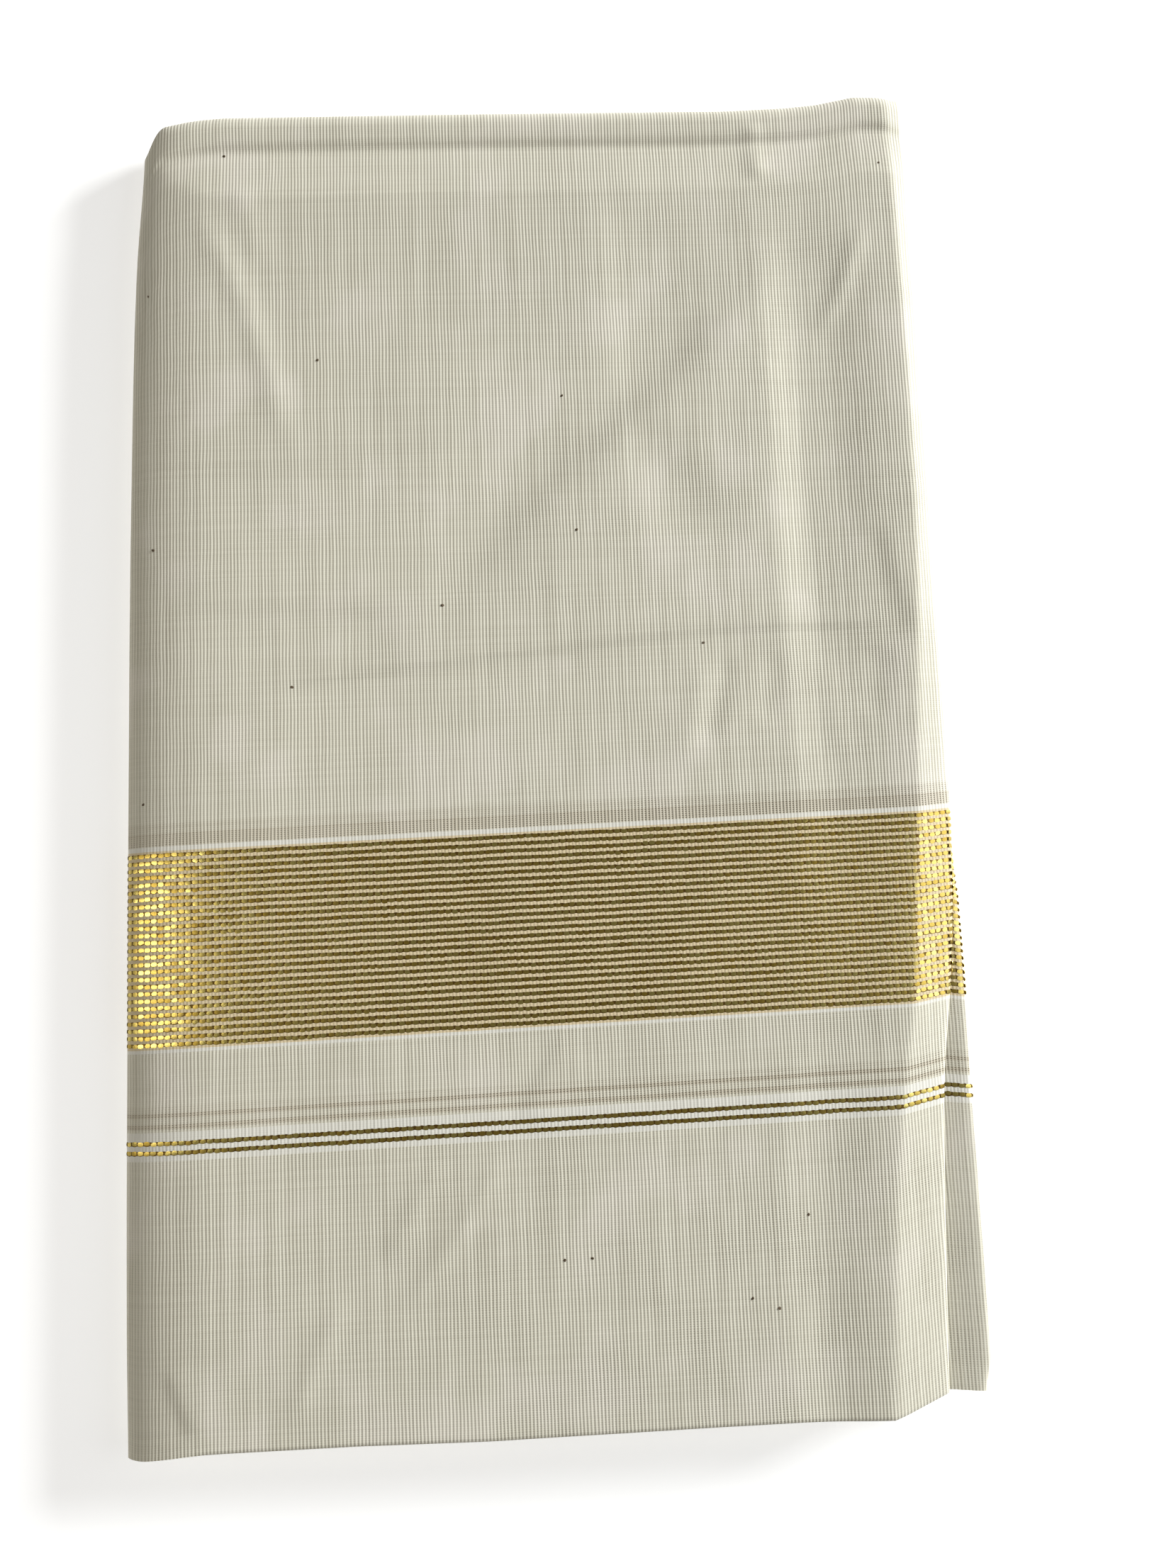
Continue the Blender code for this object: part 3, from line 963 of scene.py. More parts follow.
def lay_sheet(name: str, node: str, material: bpy.types.Material,
              surface: tuple[Array, Array]) -> bpy.types.Object:
    """Args:
        name: The piece's name.
        node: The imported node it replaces.
        material: Its finish.
        surface: Points of its outer side in rows and columns, and their U and V.

    Returns:
        The piece.
    """
    points, threads = surface
    shell = ClothMesh()
    shell.add_shell(points, threads, CLOTH)
    piece = shell.piece(name, material)
    keep(piece, node)
    return piece


def thread_lift(x: Array, v: Array) -> Array:
    """How far the crosswise threads have slid along +Y at x, between the two ends."""
    rise = 4.2 * ramp(v, -203.0, -90.0) * (1.0 - ramp(v, -20.0, 190.0))
    return rise * (x + HALF_WIDTH) / (2.0 * HALF_WIDTH)


@dataclass(frozen=True)
class Rows:
    """Rows of a stretch along the cloth, one value each.

    Attributes:
        v: Place along the cloth, before it bends over an end.
        drop: How far the surface lies below the face.
        thread: Place along the thread.
        forward: How far the surface's normal leans along +Y.
        upward: How far it leans up.
    """

    v: Array
    drop: Array
    thread: Array
    forward: Array
    upward: Array

    @classmethod
    def level(cls, low: float, high: float, step: float) -> "Rows":
        """Evenly spaced rows on the face.

        Args:
            low: The first row.
            high: The last row.
            step: The distance between rows, about.

        Returns:
            The rows.
        """
        v = np.linspace(low, high, max(2, round((high - low) / step) + 1))
        return cls(v, np.zeros_like(v), v, np.zeros_like(v), np.ones_like(v))

    @classmethod
    def bent(cls, start: float, curve: Array, sense: float) -> "Rows":
        """Rows that bend down over an end.

        Args:
            start: The place of the end.
            curve: Inset, drop and distance along the curve.
            sense: 1 at the big fold, -1 at the open end.

        Returns:
            The rows.
        """
        inset, drop, run = curve.T
        slope_in, slope_down = np.gradient(inset, run), np.gradient(drop, run)
        length = np.hypot(slope_in, slope_down)
        forward, upward = slope_down / length, -slope_in / length
        v = start - sense * inset
        thread = (v[0] + run) if sense > 0 else (v[-1] - (run[-1] - run))
        return cls(v, drop, thread, forward, sense * upward)

    def joined(self, other: "Rows") -> "Rows":
        """These rows and then the others, whose first row is this one's last."""
        names = ("v", "drop", "thread", "forward", "upward")
        return Rows(*(np.r_[getattr(self, n), getattr(other, n)[1:]] for n in names))


@dataclass
class TopLayers:
    """The top layers: five woven stretches on one bent surface.

    Attributes:
        step: The distance between vertices of the face, about.
        left_step: The same round the left fold.
    """

    step: float = 1.4
    left_step: float = 1.0

    def columns(self, v: Array) -> tuple[Array, Array, Array, Array]:
        """Places of the surface across the packet.

        Args:
            v: Places along the cloth.

        Returns:
            x of each row and column, U of each, and each column's drop at the left fold
            and at the right fold.
        """
        left, valley, rim, right = (SIDE_LINES.at(name, v)[:, None]
                                    for name in ("left", "valley", "rim", "right"))
        left_fold = curve_through(LEFT_FOLD, self.left_step)
        right_fold = curve_through(RIGHT_FOLD, 0.45)
        start, stop = left + LEFT_FOLD[-1][0], right - RIGHT_FOLD[0][0]
        spans = [(start, valley), (valley, rim), (rim, stop)]
        steps = [round(float((b - a).mean()) / self.step) for a, b in spans]
        shares = [np.linspace(0.0, 1.0, count + 1)[1:] for count in steps]
        middle = [a + (b - a) * share for (a, b), share in zip(spans, shares)]
        x = np.hstack([left + left_fold[:, 0], *middle, right - right_fold[1:, 0]])
        u = np.hstack([start - left_fold[-1, 2] + left_fold[:, 2], *middle,
                       stop + right_fold[1:, 2]])
        flat = sum(steps)
        left_drop = np.r_[left_fold[:, 1], np.zeros(flat + len(right_fold) - 1)]
        right_drop = np.r_[np.zeros(len(left_fold) + flat), right_fold[1:, 1]]
        return x, u, left_drop, right_drop

    def relief(self, x: Array, y: Array) -> Array:
        """Creases and soft waves of the face.

        Args:
            x: Places across the packet.
            y: Places along it.

        Returns:
            Their height.
        """
        made = sum(crease.height(x, y) for crease in CREASES)
        made = made + 0.05 * ripple(x, y * 0.7, 46.0, SEED) + 0.018 * ripple(x, y, 15.0, SEED + 1)
        return made

    def surface(self, rows: Rows) -> tuple[Array, Array]:
        """The outer surface along some rows.

        Args:
            rows: The rows.

        Returns:
            Points in rows and columns, and their U and V.
        """
        x, u, left_drop, right_drop = self.columns(rows.v)
        v, drop = rows.v[:, None], rows.drop[:, None]
        rim, valley, right, depth = (SIDE_LINES.at(name, rows.v)[:, None]
                                     for name in ("rim", "valley", "right", "dip"))
        slope = np.clip((x - rim) / (right - rim), 0.0, 1.0)
        at_big_fold = (END_LINES.at("big_fold", x) - HALF_LENGTH) * ramp(v, 100.0, 176.0)
        at_open_end = (END_LINES.at("open_end", x) - V_OPEN_END) * (1.0 - ramp(v, -197.0, -150.0))
        y = v + thread_lift(x, v) + at_big_fold + at_open_end
        y = y + SIDE_LINES.at("lift", rows.v)[:, None] * slope
        rise_share = np.clip((x - valley) / (rim - valley), 0.0, 1.0)
        dip = -depth * ramp(x, -13.0 + valley, valley) * (1.0 - ramp(rise_share, 0.0, 1.0))
        side = dip + RIM * ramp(rise_share, 0.0, 1.0) - SLOPE_DROP * slope**SLOPE_POWER
        below = (left_drop**4 + drop**4) ** 0.25
        still = 1.0 - np.clip(below / 3.0, 0.0, 1.0)
        z = HEIGHT - below + side * (1.0 - np.clip(drop / 5.0, 0.0, 1.0))
        z = z + self.relief(x, y) * still * (1.0 - slope * 0.5)
        z = z - right_drop * rows.upward[:, None]
        y = y - right_drop * rows.forward[:, None]
        points = np.stack([x, y, np.clip(z, 0.0, None)], -1)
        threads = np.stack([u, np.broadcast_to(rows.thread[:, None], u.shape)], -1)
        return points, threads


@dataclass
class SecondFold:
    """The lower group of the top layers, which looks out as a ledge at the right.

    Attributes:
        low: First row along the cloth.
        high: Last row.
        step: The distance between rows.
        hidden_columns: Columns under the top layers.
    """

    low: float = -201.0
    high: float = 189.0
    step: float = 1.5
    hidden_columns: int = 9

    def surface(self) -> tuple[Array, Array]:
        """The outer surface: points in rows and columns, and their U and V."""
        v = np.linspace(self.low, self.high, round((self.high - self.low) / self.step) + 1)
        curve = curve_through(SECOND_FOLD, 0.4)
        brow = SECOND_FOLD_LINE.at("brow", v)[:, None]
        right = SIDE_LINES.at("right", v)[:, None]
        inner, shoulder = right - SECOND_FOLD_HIDDEN, brow + curve[0, 0]
        share = np.linspace(0.0, 1.0, self.hidden_columns)[:-1]
        x = np.hstack([inner + (shoulder - inner) * share, brow + curve[:, 0]])
        sag = np.r_[-0.22 * np.sin(share * math.pi) ** 2, np.zeros(len(curve))]
        height = np.r_[np.full(len(share), curve[0, 1]), curve[:, 1]] + sag
        arc = np.r_[np.zeros(len(share)), curve[:, 2]]
        fall = np.clip((x - right) / (brow - right), 0.0, 1.0) * SECOND_FOLD_FALL
        row = v[:, None]
        lift = np.minimum(SIDE_LINES.at("lift", v), 2.4)[:, None]
        y = row + thread_lift(brow, row) + lift - fall
        ledge = np.clip((brow - x) / 16.0, 0.0, 1.0)
        z = height - 1.1 * ledge + 0.05 * ripple(x * 0.3, y, 30.0, SEED + 2)
        z = np.where(arc > 2.5, height, z)
        u = np.where(arc > 0, shoulder + arc, x) + HALF_WIDTH
        return np.stack([x, y, z], -1), np.stack([u, np.broadcast_to(row, u.shape)], -1)

    def build(self, material: bpy.types.Material) -> bpy.types.Object:
        """Makes the piece."""
        return lay_sheet("second_fold_cloth", "second_fold", material,
                         self.surface())


@dataclass
class LowerFold:
    """The fold of the lower layers, seen under the open end of the top ones.

    Attributes:
        half_width: Half its length across the packet.
        step: The distance between columns.
        tuck: How far its ends turn in.
    """

    half_width: float = 121.6
    step: float = 1.5
    tuck: float = 2.4

    def build(self, material: bpy.types.Material) -> bpy.types.Object:
        """Makes the piece."""
        curve = curve_through(LOWER_FOLD, 0.5)
        x = np.linspace(-self.half_width, self.half_width,
                        round(2 * self.half_width / self.step) + 1)
        near_end = 1.0 - np.clip((self.half_width - np.abs(x)) / self.tuck, 0.0, 1.0)
        turned = self.tuck * (1.0 - np.sqrt(np.clip(1.0 - near_end**2, 0.0, 1.0)))
        brow = END_LINES.at("lower_fold", x) + turned + 0.12 * ripple(x, x * 0.0, 18.0, SEED)
        y = brow[None, :] + curve[:, :1]
        z = np.broadcast_to(curve[:, 1:2], y.shape) + 0.0
        points = np.stack([np.broadcast_to(x, y.shape), y, z], -1)
        threads = np.stack([np.broadcast_to(x, y.shape),
                            np.broadcast_to(curve[:, 2:3] - 260.0, y.shape)], -1)
        return lay_sheet("lower_fold_cloth", "lower_fold", material,
                         (points, threads))


@dataclass
class Underside:
    """The bottom layer, flat where the packet rests, with its sides rolled up.

    Attributes:
        low: Its end at the fold of the lower layers.
        high: Its end at the big fold.
        step: The distance between rows.
    """

    low: float = -193.5
    high: float = 194.0
    step: float = 4.0

    def build(self, material: bpy.types.Material) -> bpy.types.Object:
        """Makes the piece."""
        y = np.linspace(self.low, self.high, round((self.high - self.low) / self.step) + 1)
        roll = curve_through(UNDERSIDE_ROLL, 0.35)
        flat = np.linspace(-1.0, 1.0, 61)[1:-1]
        edge = HALF_WIDTH - roll[-1, 0]
        side = HALF_WIDTH - roll[:, 0]
        across = np.r_[-side, flat * edge, side[::-1]]
        height = np.r_[roll[:, 1], np.zeros(len(flat)), roll[::-1, 1]]
        arc = np.r_[-edge - (roll[-1, 2] - roll[:, 2]), flat * edge,
                    (edge + roll[-1, 2] - roll[:, 2])[::-1]]
        left = SIDE_LINES.at("left", y) + HALF_WIDTH
        x = across + left[:, None] * np.clip(-across / HALF_WIDTH, 0.0, 1.0)
        points = np.stack([x, np.broadcast_to(y[:, None], x.shape),
                           np.broadcast_to(height, x.shape)], -1)[:, ::-1]
        threads = np.stack([np.broadcast_to(arc, x.shape),
                            np.broadcast_to(y[:, None] - 600.0, x.shape)], -1)[:, ::-1]
        return lay_sheet("underside_cloth", "underside", material,
                         (points, threads))


@dataclass
class LayerEdges:
    """All layers that don't show, as one rounded solid with their rolled edges at its sides.

    Attributes:
        low: Height of its underside.
        high: Height of its top.
        rings: How many rings of points it has.
        left_rolls: Heights where the rolls at the left meet.
        right_rolls: Heights where the rolls at the right meet.
        groove: How deep a roll's edge lies below its brow.
        corner: Corner radius seen from above.
        side_steps: Points along a side.
        corner_steps: Points round a corner.
    """

    low: float = 0.6
    high: float = 12.2
    rings: int = 64
    left_rolls: tuple[float, ...] = (0.0, 3.2, 6.3, 12.0)
    right_rolls: tuple[float, ...] = (0.0, 2.4, 4.7, 6.9, 9.0, 12.0)
    groove: float = 1.5
    corner: float = 3.5
    side_steps: int = 90
    corner_steps: int = 7

    def inset(self, z: float, rolls: Sequence[float], along: Array, seed: int) -> Array:
        """How far a rolled side lies in from its brow.

        Args:
            z: The height.
            rolls: Heights where the rolls meet.
            along: Places along the side.
            seed: Chooses how the rolls wander.

        Returns:
            The inset at each place.
        """
        number = max(0, int(np.searchsorted(rolls, z, side="right")) - 1)
        number = min(number, len(rolls) - 2)
        share = (z - rolls[number]) / (rolls[number + 1] - rolls[number])
        round_in = self.groove * (1.0 - math.sqrt(max(0.0, 1.0 - (2.0 * share - 1.0) ** 4)))
        wander = 0.35 * ripple(along, along * 0.0 + number * 7.0, 70.0, seed + number)
        return round_in + wander + 0.35

    def ring(self, z: float) -> Array:
        """The outline at one height.

        Args:
            z: The height.

        Returns:
            Its points, anticlockwise from above.
        """
        height = np.array(z)
        # Each side draws in under the round of the fold above it, and again at the floor.
        top_left = ramp(height, 6.4, 12.2) * 16.0
        top_right = 12.0 * ramp(height, 8.9, 9.2) + 10.0 * ramp(height, 11.0, 12.2)
        lower_end = 10.5 * ramp(height, 8.2, 8.9) * (1.0 - ramp(height, 9.0, 9.2))
        big_inset = 1.2 + 2.2 * ramp(height, 2.4, 0.4) + 27.0 * ramp(height, 9.6, 12.2)

        def left(y: Array) -> Array:
            """The left side at y."""
            return (SIDE_LINES.at("left", y) + 2.0 + top_left
                    + self.inset(z, self.left_rolls, y, SEED + 10))

        def right(y: Array) -> Array:
            """The right side at y."""
            under_ledge = HALF_WIDTH - 1.3 - self.inset(z, self.right_rolls, y, SEED + 20)
            return np.minimum(under_ledge, SIDE_LINES.at("right", y) - 2.0
                              + 9.0 * ramp(height, 9.0, 8.8)) - top_right

        def low(x: Array) -> Array:
            """The open end's side at x."""
            brow = np.maximum(END_LINES.at("lower_fold", x), END_LINES.at("open_end", x))
            return brow + 2.4 + lower_end + 1.6 * ramp(height, 1.8, 0.4)

        def high(x: Array) -> Array:
            """The big fold's side at x."""
            return np.minimum(END_LINES.at("big_fold", x), 207.0) - big_inset

        radius, steps = self.corner, self.side_steps
        nought = np.array(0.0)
        spots = (
            (right(low(nought)), low(right(low(nought))), 1, 1, -90.0),
            (right(high(nought)), high(right(high(nought))), 1, -1, 0.0),
            (left(high(nought)), high(left(high(nought))), -1, -1, 90.0),
            (left(low(nought)), low(left(low(nought))), -1, 1, 180.0),
        )
        arcs = []
        for x, y, out, up, turn in spots:
            angle = np.radians(turn + np.linspace(0.0, 90.0, self.corner_steps))
            arcs.append(np.stack([x - out * radius + radius * np.cos(angle),
                                  y + up * radius + radius * np.sin(angle)], 1))
        outline = []
        for index, arc in enumerate(arcs):
            after = arcs[(index + 1) % 4]
            line = arc[-1] + (after[0] - arc[-1]) * np.linspace(0.0, 1.0, steps)[1:-1, None]
            if index % 2 == 0:
                edge = right(line[:, 1]) if index == 0 else left(line[:, 1])
                wanted = np.stack([edge, line[:, 1]], 1)
            else:
                edge = high(line[:, 0]) if index == 1 else low(line[:, 0])
                wanted = np.stack([line[:, 0], edge], 1)
            blend = np.minimum(1.0, np.minimum(np.arange(1, steps - 1),
                                               np.arange(steps - 2, 0, -1)) / 5.0)[:, None]
            outline += [arc, line + (wanted - line) * blend]
        outline = np.vstack(outline)
        return np.column_stack([outline, np.full(len(outline), z)])

    def build(self, material: bpy.types.Material) -> bpy.types.Object:
        """Makes the piece."""
        solid = ClothMesh()
        solid.add_loft(np.stack([self.ring(float(z))
                                 for z in np.linspace(self.low, self.high, self.rings)]))
        piece = solid.piece("layer_edges", material)
        keep(piece, "hidden_layers")
        return piece


@dataclass
class Selvedges:
    """The woven edges of the top third's layers, one on another at the open end.

    Attributes:
        layers: How many show below the top one.
        low: Height of the lowest.
        depth: How far each one runs in.
        step: The distance between columns.
        ragged: How unevenly they end.
        reach: How far in from the end the top layers' height is read.
        thickness: Thickness of one of them.
    """

    layers: int = 11
    low: float = 9.0
    depth: float = 9.0
    step: float = 2.2
    ragged: float = 0.45
    reach: float = 4.0
    thickness: float = 0.24

    def build(self, material: bpy.types.Material, top: TopLayers) -> bpy.types.Object:
        """Makes the piece.

        Args:
            material: Its finish.
            top: The top layers, which it lies under.

        Returns:
            The piece.
        """
        start = V_OPEN_END + self.reach
        surface, _ = top.surface(Rows.level(start, start + 2.0, 2.0))
        right = float(SIDE_LINES.at("right", V_OPEN_END)) - 1.0
        x = np.arange(-HALF_WIDTH + 5.0, right, self.step)
        past_left_fold = 8
        flat = len(surface[0]) - len(curve_through(RIGHT_FOLD, 0.45))
        top_x, top_y, top_z = surface[0, past_left_fold:flat].T
        ceiling = np.interp(x, top_x, top_z) - CLOTH - 0.05
        end = np.interp(x, top_x, top_y) - self.reach
        stack = ClothMesh()
        depths = np.array([0.0, 0.4, 1.6, self.depth])
        droop = np.array([0.08, 0.02, 0.0, 0.0])
        for layer in range(self.layers):
            z = self.low + (ceiling - self.low) * (layer + 0.85) / self.layers
            wander = self.ragged * (ripple(x, x * 0 + 9 * layer, 60.0, SEED + layer) + 1.1)
            y = end + wander + 0.15
            points = np.stack([
                np.broadcast_to(x, (4, len(x))),
                y[None, :] + depths[:, None],
                z[None, :] - droop[:, None],
            ], -1)
            threads = np.stack([np.broadcast_to(x + layer * 3.3, (4, len(x))),
                                np.broadcast_to(depths[:, None] - 202.0, (4, len(x)))], -1)
            stack.add_shell(points, threads, self.thickness)
        piece = stack.piece("selvedge_layers", material)
        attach(piece, "root")
        log.info("%s: %d layers", piece.name, self.layers)
        return piece


class SeatedBeads(Nodes):
    """Geometry nodes that seat small pillows on the cloth at given thread places."""

    SIZES = (("Length", 1.0), ("Width", 1.0), ("Rise", 0.1), ("Tilt", 0.05), ("Unevenness", 0.1))
    AHEAD = 0.2    # in millimetres, how far along the thread a pillow's direction is read
    SUNK = 0.2     # in millimetres, how far its underside lies in the cloth

    def __init__(self) -> None:
        """Builds the tree, which ends in Realize Instances and Set Material."""
        super().__init__(bpy.data.node_groups.new("seated beads", "GeometryNodeTree"))
        self.sockets: dict[str, str] = {}
        self._input("Geometry", "NodeSocketGeometry")
        self._input("Cloth", "NodeSocketObject")
        for name, value in self.SIZES:
            self._input(name, "NodeSocketFloat", value)
        self._input("Seed", "NodeSocketInt", SEED)
        self._input("Finish", "NodeSocketMaterial")
        self.tree.interface.new_socket("Geometry", in_out="OUTPUT",
                                       socket_type="NodeSocketGeometry")
        self.source = self.tree.nodes.new("NodeGroupInput")
        spots, rotation = self._seats()
        self._finish(self._instances(spots, rotation))

    def _input(self, name: str, kind: str, value: Optional[float] = None) -> None:
        """Adds a named input.

        Args:
            name: Its name.
            kind: Its socket type.
            value: Its default.
        """
        socket = self.tree.interface.new_socket(name, in_out="INPUT", socket_type=kind)
        if value is not None:
            socket.default_value = value
        self.sockets[name] = socket.identifier

    def given(self, name: str) -> Wire:
        """One of the tree's named inputs."""
        return Wire(self, self.source.outputs[name])

    def chance(self, low: Value, high: Value, number: int) -> Wire:
        """A random value for each bead.

        Args:
            low: The least.
            high: The most.
            number: Sets this draw apart from the others.

        Returns:
            The value.
        """
        seed = self.given("Seed") * 10.0 + float(number)
        return self.node("FunctionNodeRandomValue", {"data_type": "FLOAT"},
                         {2: low, 3: high, 8: seed}, 1)

    def stored(self, name: str, kind: str = "FLOAT_VECTOR") -> Wire:
        """A named attribute of the points."""
        return self.node("GeometryNodeInputNamedAttribute", {"data_type": kind}, {0: name})

    def store(self, geometry: Wire, name: str, value: Wire, kind: str = "FLOAT_VECTOR",
              domain: str = "POINT") -> Wire:
        """Stores a value as a named attribute.

        Args:
            geometry: What to store it on.
            name: The attribute's name.
            value: The value.
            kind: Its data type.
            domain: Where it is kept.

        Returns:
            The geometry with the attribute.
        """
        return self.node("GeometryNodeStoreNamedAttribute",
                         {"data_type": kind, "domain": domain}, {0: geometry, 2: name, 3: value})

    def _on_cloth(self, what: Wire, place: Wire) -> Wire:
        """Reads something of the cloth at a thread place.

        Args:
            what: What to read.
            place: U and V.

        Returns:
            Its value there.
        """
        cloth = self.node("GeometryNodeObjectInfo", None, {"Object": self.given("Cloth")},
                          "Geometry")
        threads = self.stored(UV_NAME)
        return self.node("GeometryNodeSampleUVSurface", {"data_type": "FLOAT_VECTOR"},
                         {0: cloth, 1: what, 2: threads, 3: place})

    def _seats(self) -> tuple[Wire, Wire]:
        """Moves the points onto the cloth.

        Returns:
            The points, and each one's turn with the cloth.
        """
        place, position = (self.node("GeometryNodeInputPosition") for _ in range(2))
        normal = self.node("GeometryNodeInputNormal")
        placed = self.store(self.given("Geometry"), "thread place", place)
        toned = self.store(placed, "tone", self.chance(0.0, 1.0, 1), "FLOAT")
        kept = self.stored("thread place")
        ahead = self.combine("ADD", kept, (self.AHEAD * MM, 0.0, 0.0))
        here, there = self._on_cloth(position, kept), self._on_cloth(position, ahead)
        upright = self.node("FunctionNodeAxesToRotation",
                            {"primary_axis": "Z", "secondary_axis": "X"},
                            {0: self._on_cloth(normal, kept),
                             1: self.combine("SUBTRACT", there, here)})
        tilt = self.given("Tilt")
        lean = [self.chance(tilt * -1.0, tilt, number) for number in (2, 3, 4)]
        turn = self.node("FunctionNodeEulerToRotation", None, {0: self.vector(*lean)})
        rotation = self.node("FunctionNodeRotateRotation", {"rotation_space": "LOCAL"},
                             {0: upright, 1: turn})
        turned = self.store(toned, "turn", rotation, "QUATERNION")
        found = Wire(self, here.socket.node.outputs["Is Valid"])
        seated = self.node("GeometryNodeDeleteGeometry", {"domain": "POINT"},
                           {0: turned, 1: 1.0 - found})
        moved = self.node("GeometryNodeSetPosition", None, {0: seated, 2: here})
        return moved, self.stored("turn", "QUATERNION")

    def _pillow(self) -> Wire:
        """A small pillow: a block with its top domed and its rim drawn down."""
        block = self.node("GeometryNodeMeshCube", None, {
            0: (1.0, 1.0, 1.0), "Vertices X": 4, "Vertices Y": 3, "Vertices Z": 2,
        })
        x, y, z = self.parts(self.node("GeometryNodeInputPosition"))
        dome = (1.0 - (x * 2.0) ** 4.0 * 0.75) * (1.0 - (y * 2.0) ** 2.0 * 0.8)
        above = z.maths("GREATER_THAN", 0.0)
        height = above * dome * self.given("Rise") - (1.0 - above) * self.SUNK * MM
        round_in = 1.0 - (x * 2.0) ** 4.0 * (y * 2.0) ** 2.0 * 0.18
        shaped = self.vector(x * self.given("Length") * round_in,
                             y * self.given("Width") * round_in, height)
        faces = self.node("GeometryNodeSetShadeSmooth", {"domain": "FACE"},
                          {0: block, 1: z.maths("GREATER_THAN", 0.4), 2: True})
        at_rim = (x.maths("ABSOLUTE").maths("MAXIMUM", y.maths("ABSOLUTE"))
                  .maths("GREATER_THAN", 0.49))
        top = self.node("GeometryNodeSetShadeSmooth", {"domain": "EDGE"},
                        {0: faces, 1: at_rim, 2: False})
        return self.node("GeometryNodeSetPosition", None, {0: top, 2: shaped})

    def _instances(self, spots: Wire, rotation: Wire) -> Wire:
        """Sets a pillow on every point.

        Args:
            spots: The points.
            rotation: Each one's turn.

        Returns:
            The instances, with each pillow's own place kept.
        """
        own = self.store(self._pillow(), "own place", self.node("GeometryNodeInputPosition"))
        uneven = self.given("Unevenness")
        size = self.chance(1.0 - uneven, 1.0, 5)
        scale = self.vector(size, 1.0, self.chance(1.0 - uneven * 2.0, 1.0, 6))
        return self.node("GeometryNodeInstanceOnPoints", None,
                         {0: spots, 2: own, 5: rotation, 6: scale})

    def _finish(self, instances: Wire) -> None:
        """Realizes the pillows and gives them their map and finish.

        Args:
            instances: The instances.
        """
        real = self.node("GeometryNodeRealizeInstances", None, {0: instances})
        threads = self.combine("ADD", self.stored("thread place"), self.stored("own place"))
        mapped = self.store(real, UV_NAME, threads, "FLOAT2", "CORNER")
        dressed = self.node("GeometryNodeSetMaterial", None,
                            {0: mapped, 2: self.given("Finish")})
        end = self.tree.nodes.new("NodeGroupOutput")
        self.tree.links.new(dressed.socket, end.inputs[0])

    def build(self, name: str, places: Array, sheets: Sequence[tuple[Array, Array]],
              material: bpy.types.Material, sizes: dict[str, float]) -> bpy.types.Object:
        """Makes a plain mesh of beads.

        Args:
            name: The piece's name.
            places: U and V of each bead, in millimetres.
            sheets: The surfaces they sit on, with their U and V.
            material: Their finish.
            sizes: Values of the named inputs, lengths in metres.

        Returns:
            The piece.
        """
        under = ClothMesh()
        for points, threads in sheets:
            under.add_sheet(points, threads)
        cloth = under.piece(name + "_face", None)
        mesh = bpy.data.meshes.new(name + "_places")
        mesh.from_pydata([(u * MM, v * MM, 0.0) for u, v in places], [], [])
        spots = bpy.data.objects.new(name + "_places", mesh)
        bpy.context.scene.collection.objects.link(spots)
        modifier = spots.modifiers.new("beads", "NODES")
        modifier.node_group = self.tree
        for key, value in {**sizes, "Cloth": cloth, "Finish": material}.items():
            modifier[self.sockets[key]] = value
        bpy.context.view_layer.update()
        evaluated = spots.evaluated_get(bpy.context.evaluated_depsgraph_get())
        plain = bpy.data.meshes.new_from_object(evaluated)
        for extra in ("thread place", "own place", "turn"):
            if extra in plain.attributes:
                plain.attributes.remove(plain.attributes[extra])
        bpy.data.objects.remove(spots)
        bpy.data.objects.remove(cloth)
        plain.name = name
        piece = bpy.data.objects.new(name, plain)
        bpy.context.scene.collection.objects.link(piece)
        log.info("%s: %d beads, %d faces", name, len(places), len(plain.polygons))
        return piece


@dataclass
class ZariFloats:
    """The gold thread's floats, which stand a little above the cloth in every gold stripe.

    Attributes:
        length: Length of a float, in millimetres.
        width: Its width.
        rise: Its height above the cloth.
        tilt: The most it leans, in radians.
        unevenness: How much the floats differ in size.
        margin: The least distance from a float's middle to the sheet's side.
        sway: How far a stripe of them wavers.
        jitter: How far one strays from its place.
    """

    length: float = 1.92
    width: float = 1.22
    rise: float = 0.045
    tilt: float = 0.025
    unevenness: float = 0.08
    margin: float = 0.9
    sway: float = 0.10
    jitter: float = 0.05

    def places(self, threads: Array) -> Array:
        """Thread places of the floats over a sheet.

        Args:
            threads: U and V of the sheet's points.

        Returns:
            U and V of each float.
        """
        middles = [V_FIRST_STRIPE - STRIPE_PITCH * k for k in range(STRIPE_COUNT)]
        middles += V_GUARD_STRIPES
        draw = np.random.default_rng(SEED)
        made = []
        along = threads[:, 0, 1]
        for middle in middles:
            if not along.min() < middle < along.max():
                continue
            row = threads[np.abs(along - middle).argmin(), :, 0]
            first = math.ceil((row.min() + self.margin) / FLOAT_PITCH)
            last = math.floor((row.max() - self.margin) / FLOAT_PITCH)
            u = np.arange(first, last + 1) * FLOAT_PITCH
            sway = self.sway * ripple(u, u * 0 + middle, 16.0, SEED + 3)
            jitter = draw.normal(0.0, self.jitter, (2, len(u)))
            made.append(np.stack([u + jitter[0], middle + sway + jitter[1]], 1))
        return np.vstack(made)

    def build(self, beads: SeatedBeads, sheets: Sequence[tuple[Array, Array]],
              material: bpy.types.Material) -> bpy.types.Object:
        """Makes the piece.

        Args:
            beads: The tree that seats them.
            sheets: The surfaces they lie on, with their U and V.
            material: Their finish.

        Returns:
            The piece.
        """
        places = np.vstack([self.places(threads) for _, threads in sheets])
        piece = beads.build("zari_floats", places, sheets, material, {
            "Length": self.length * MM, "Width": self.width * MM, "Rise": self.rise * MM,
            "Tilt": self.tilt, "Unevenness": self.unevenness,
        })
        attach(piece, "root")
        return piece


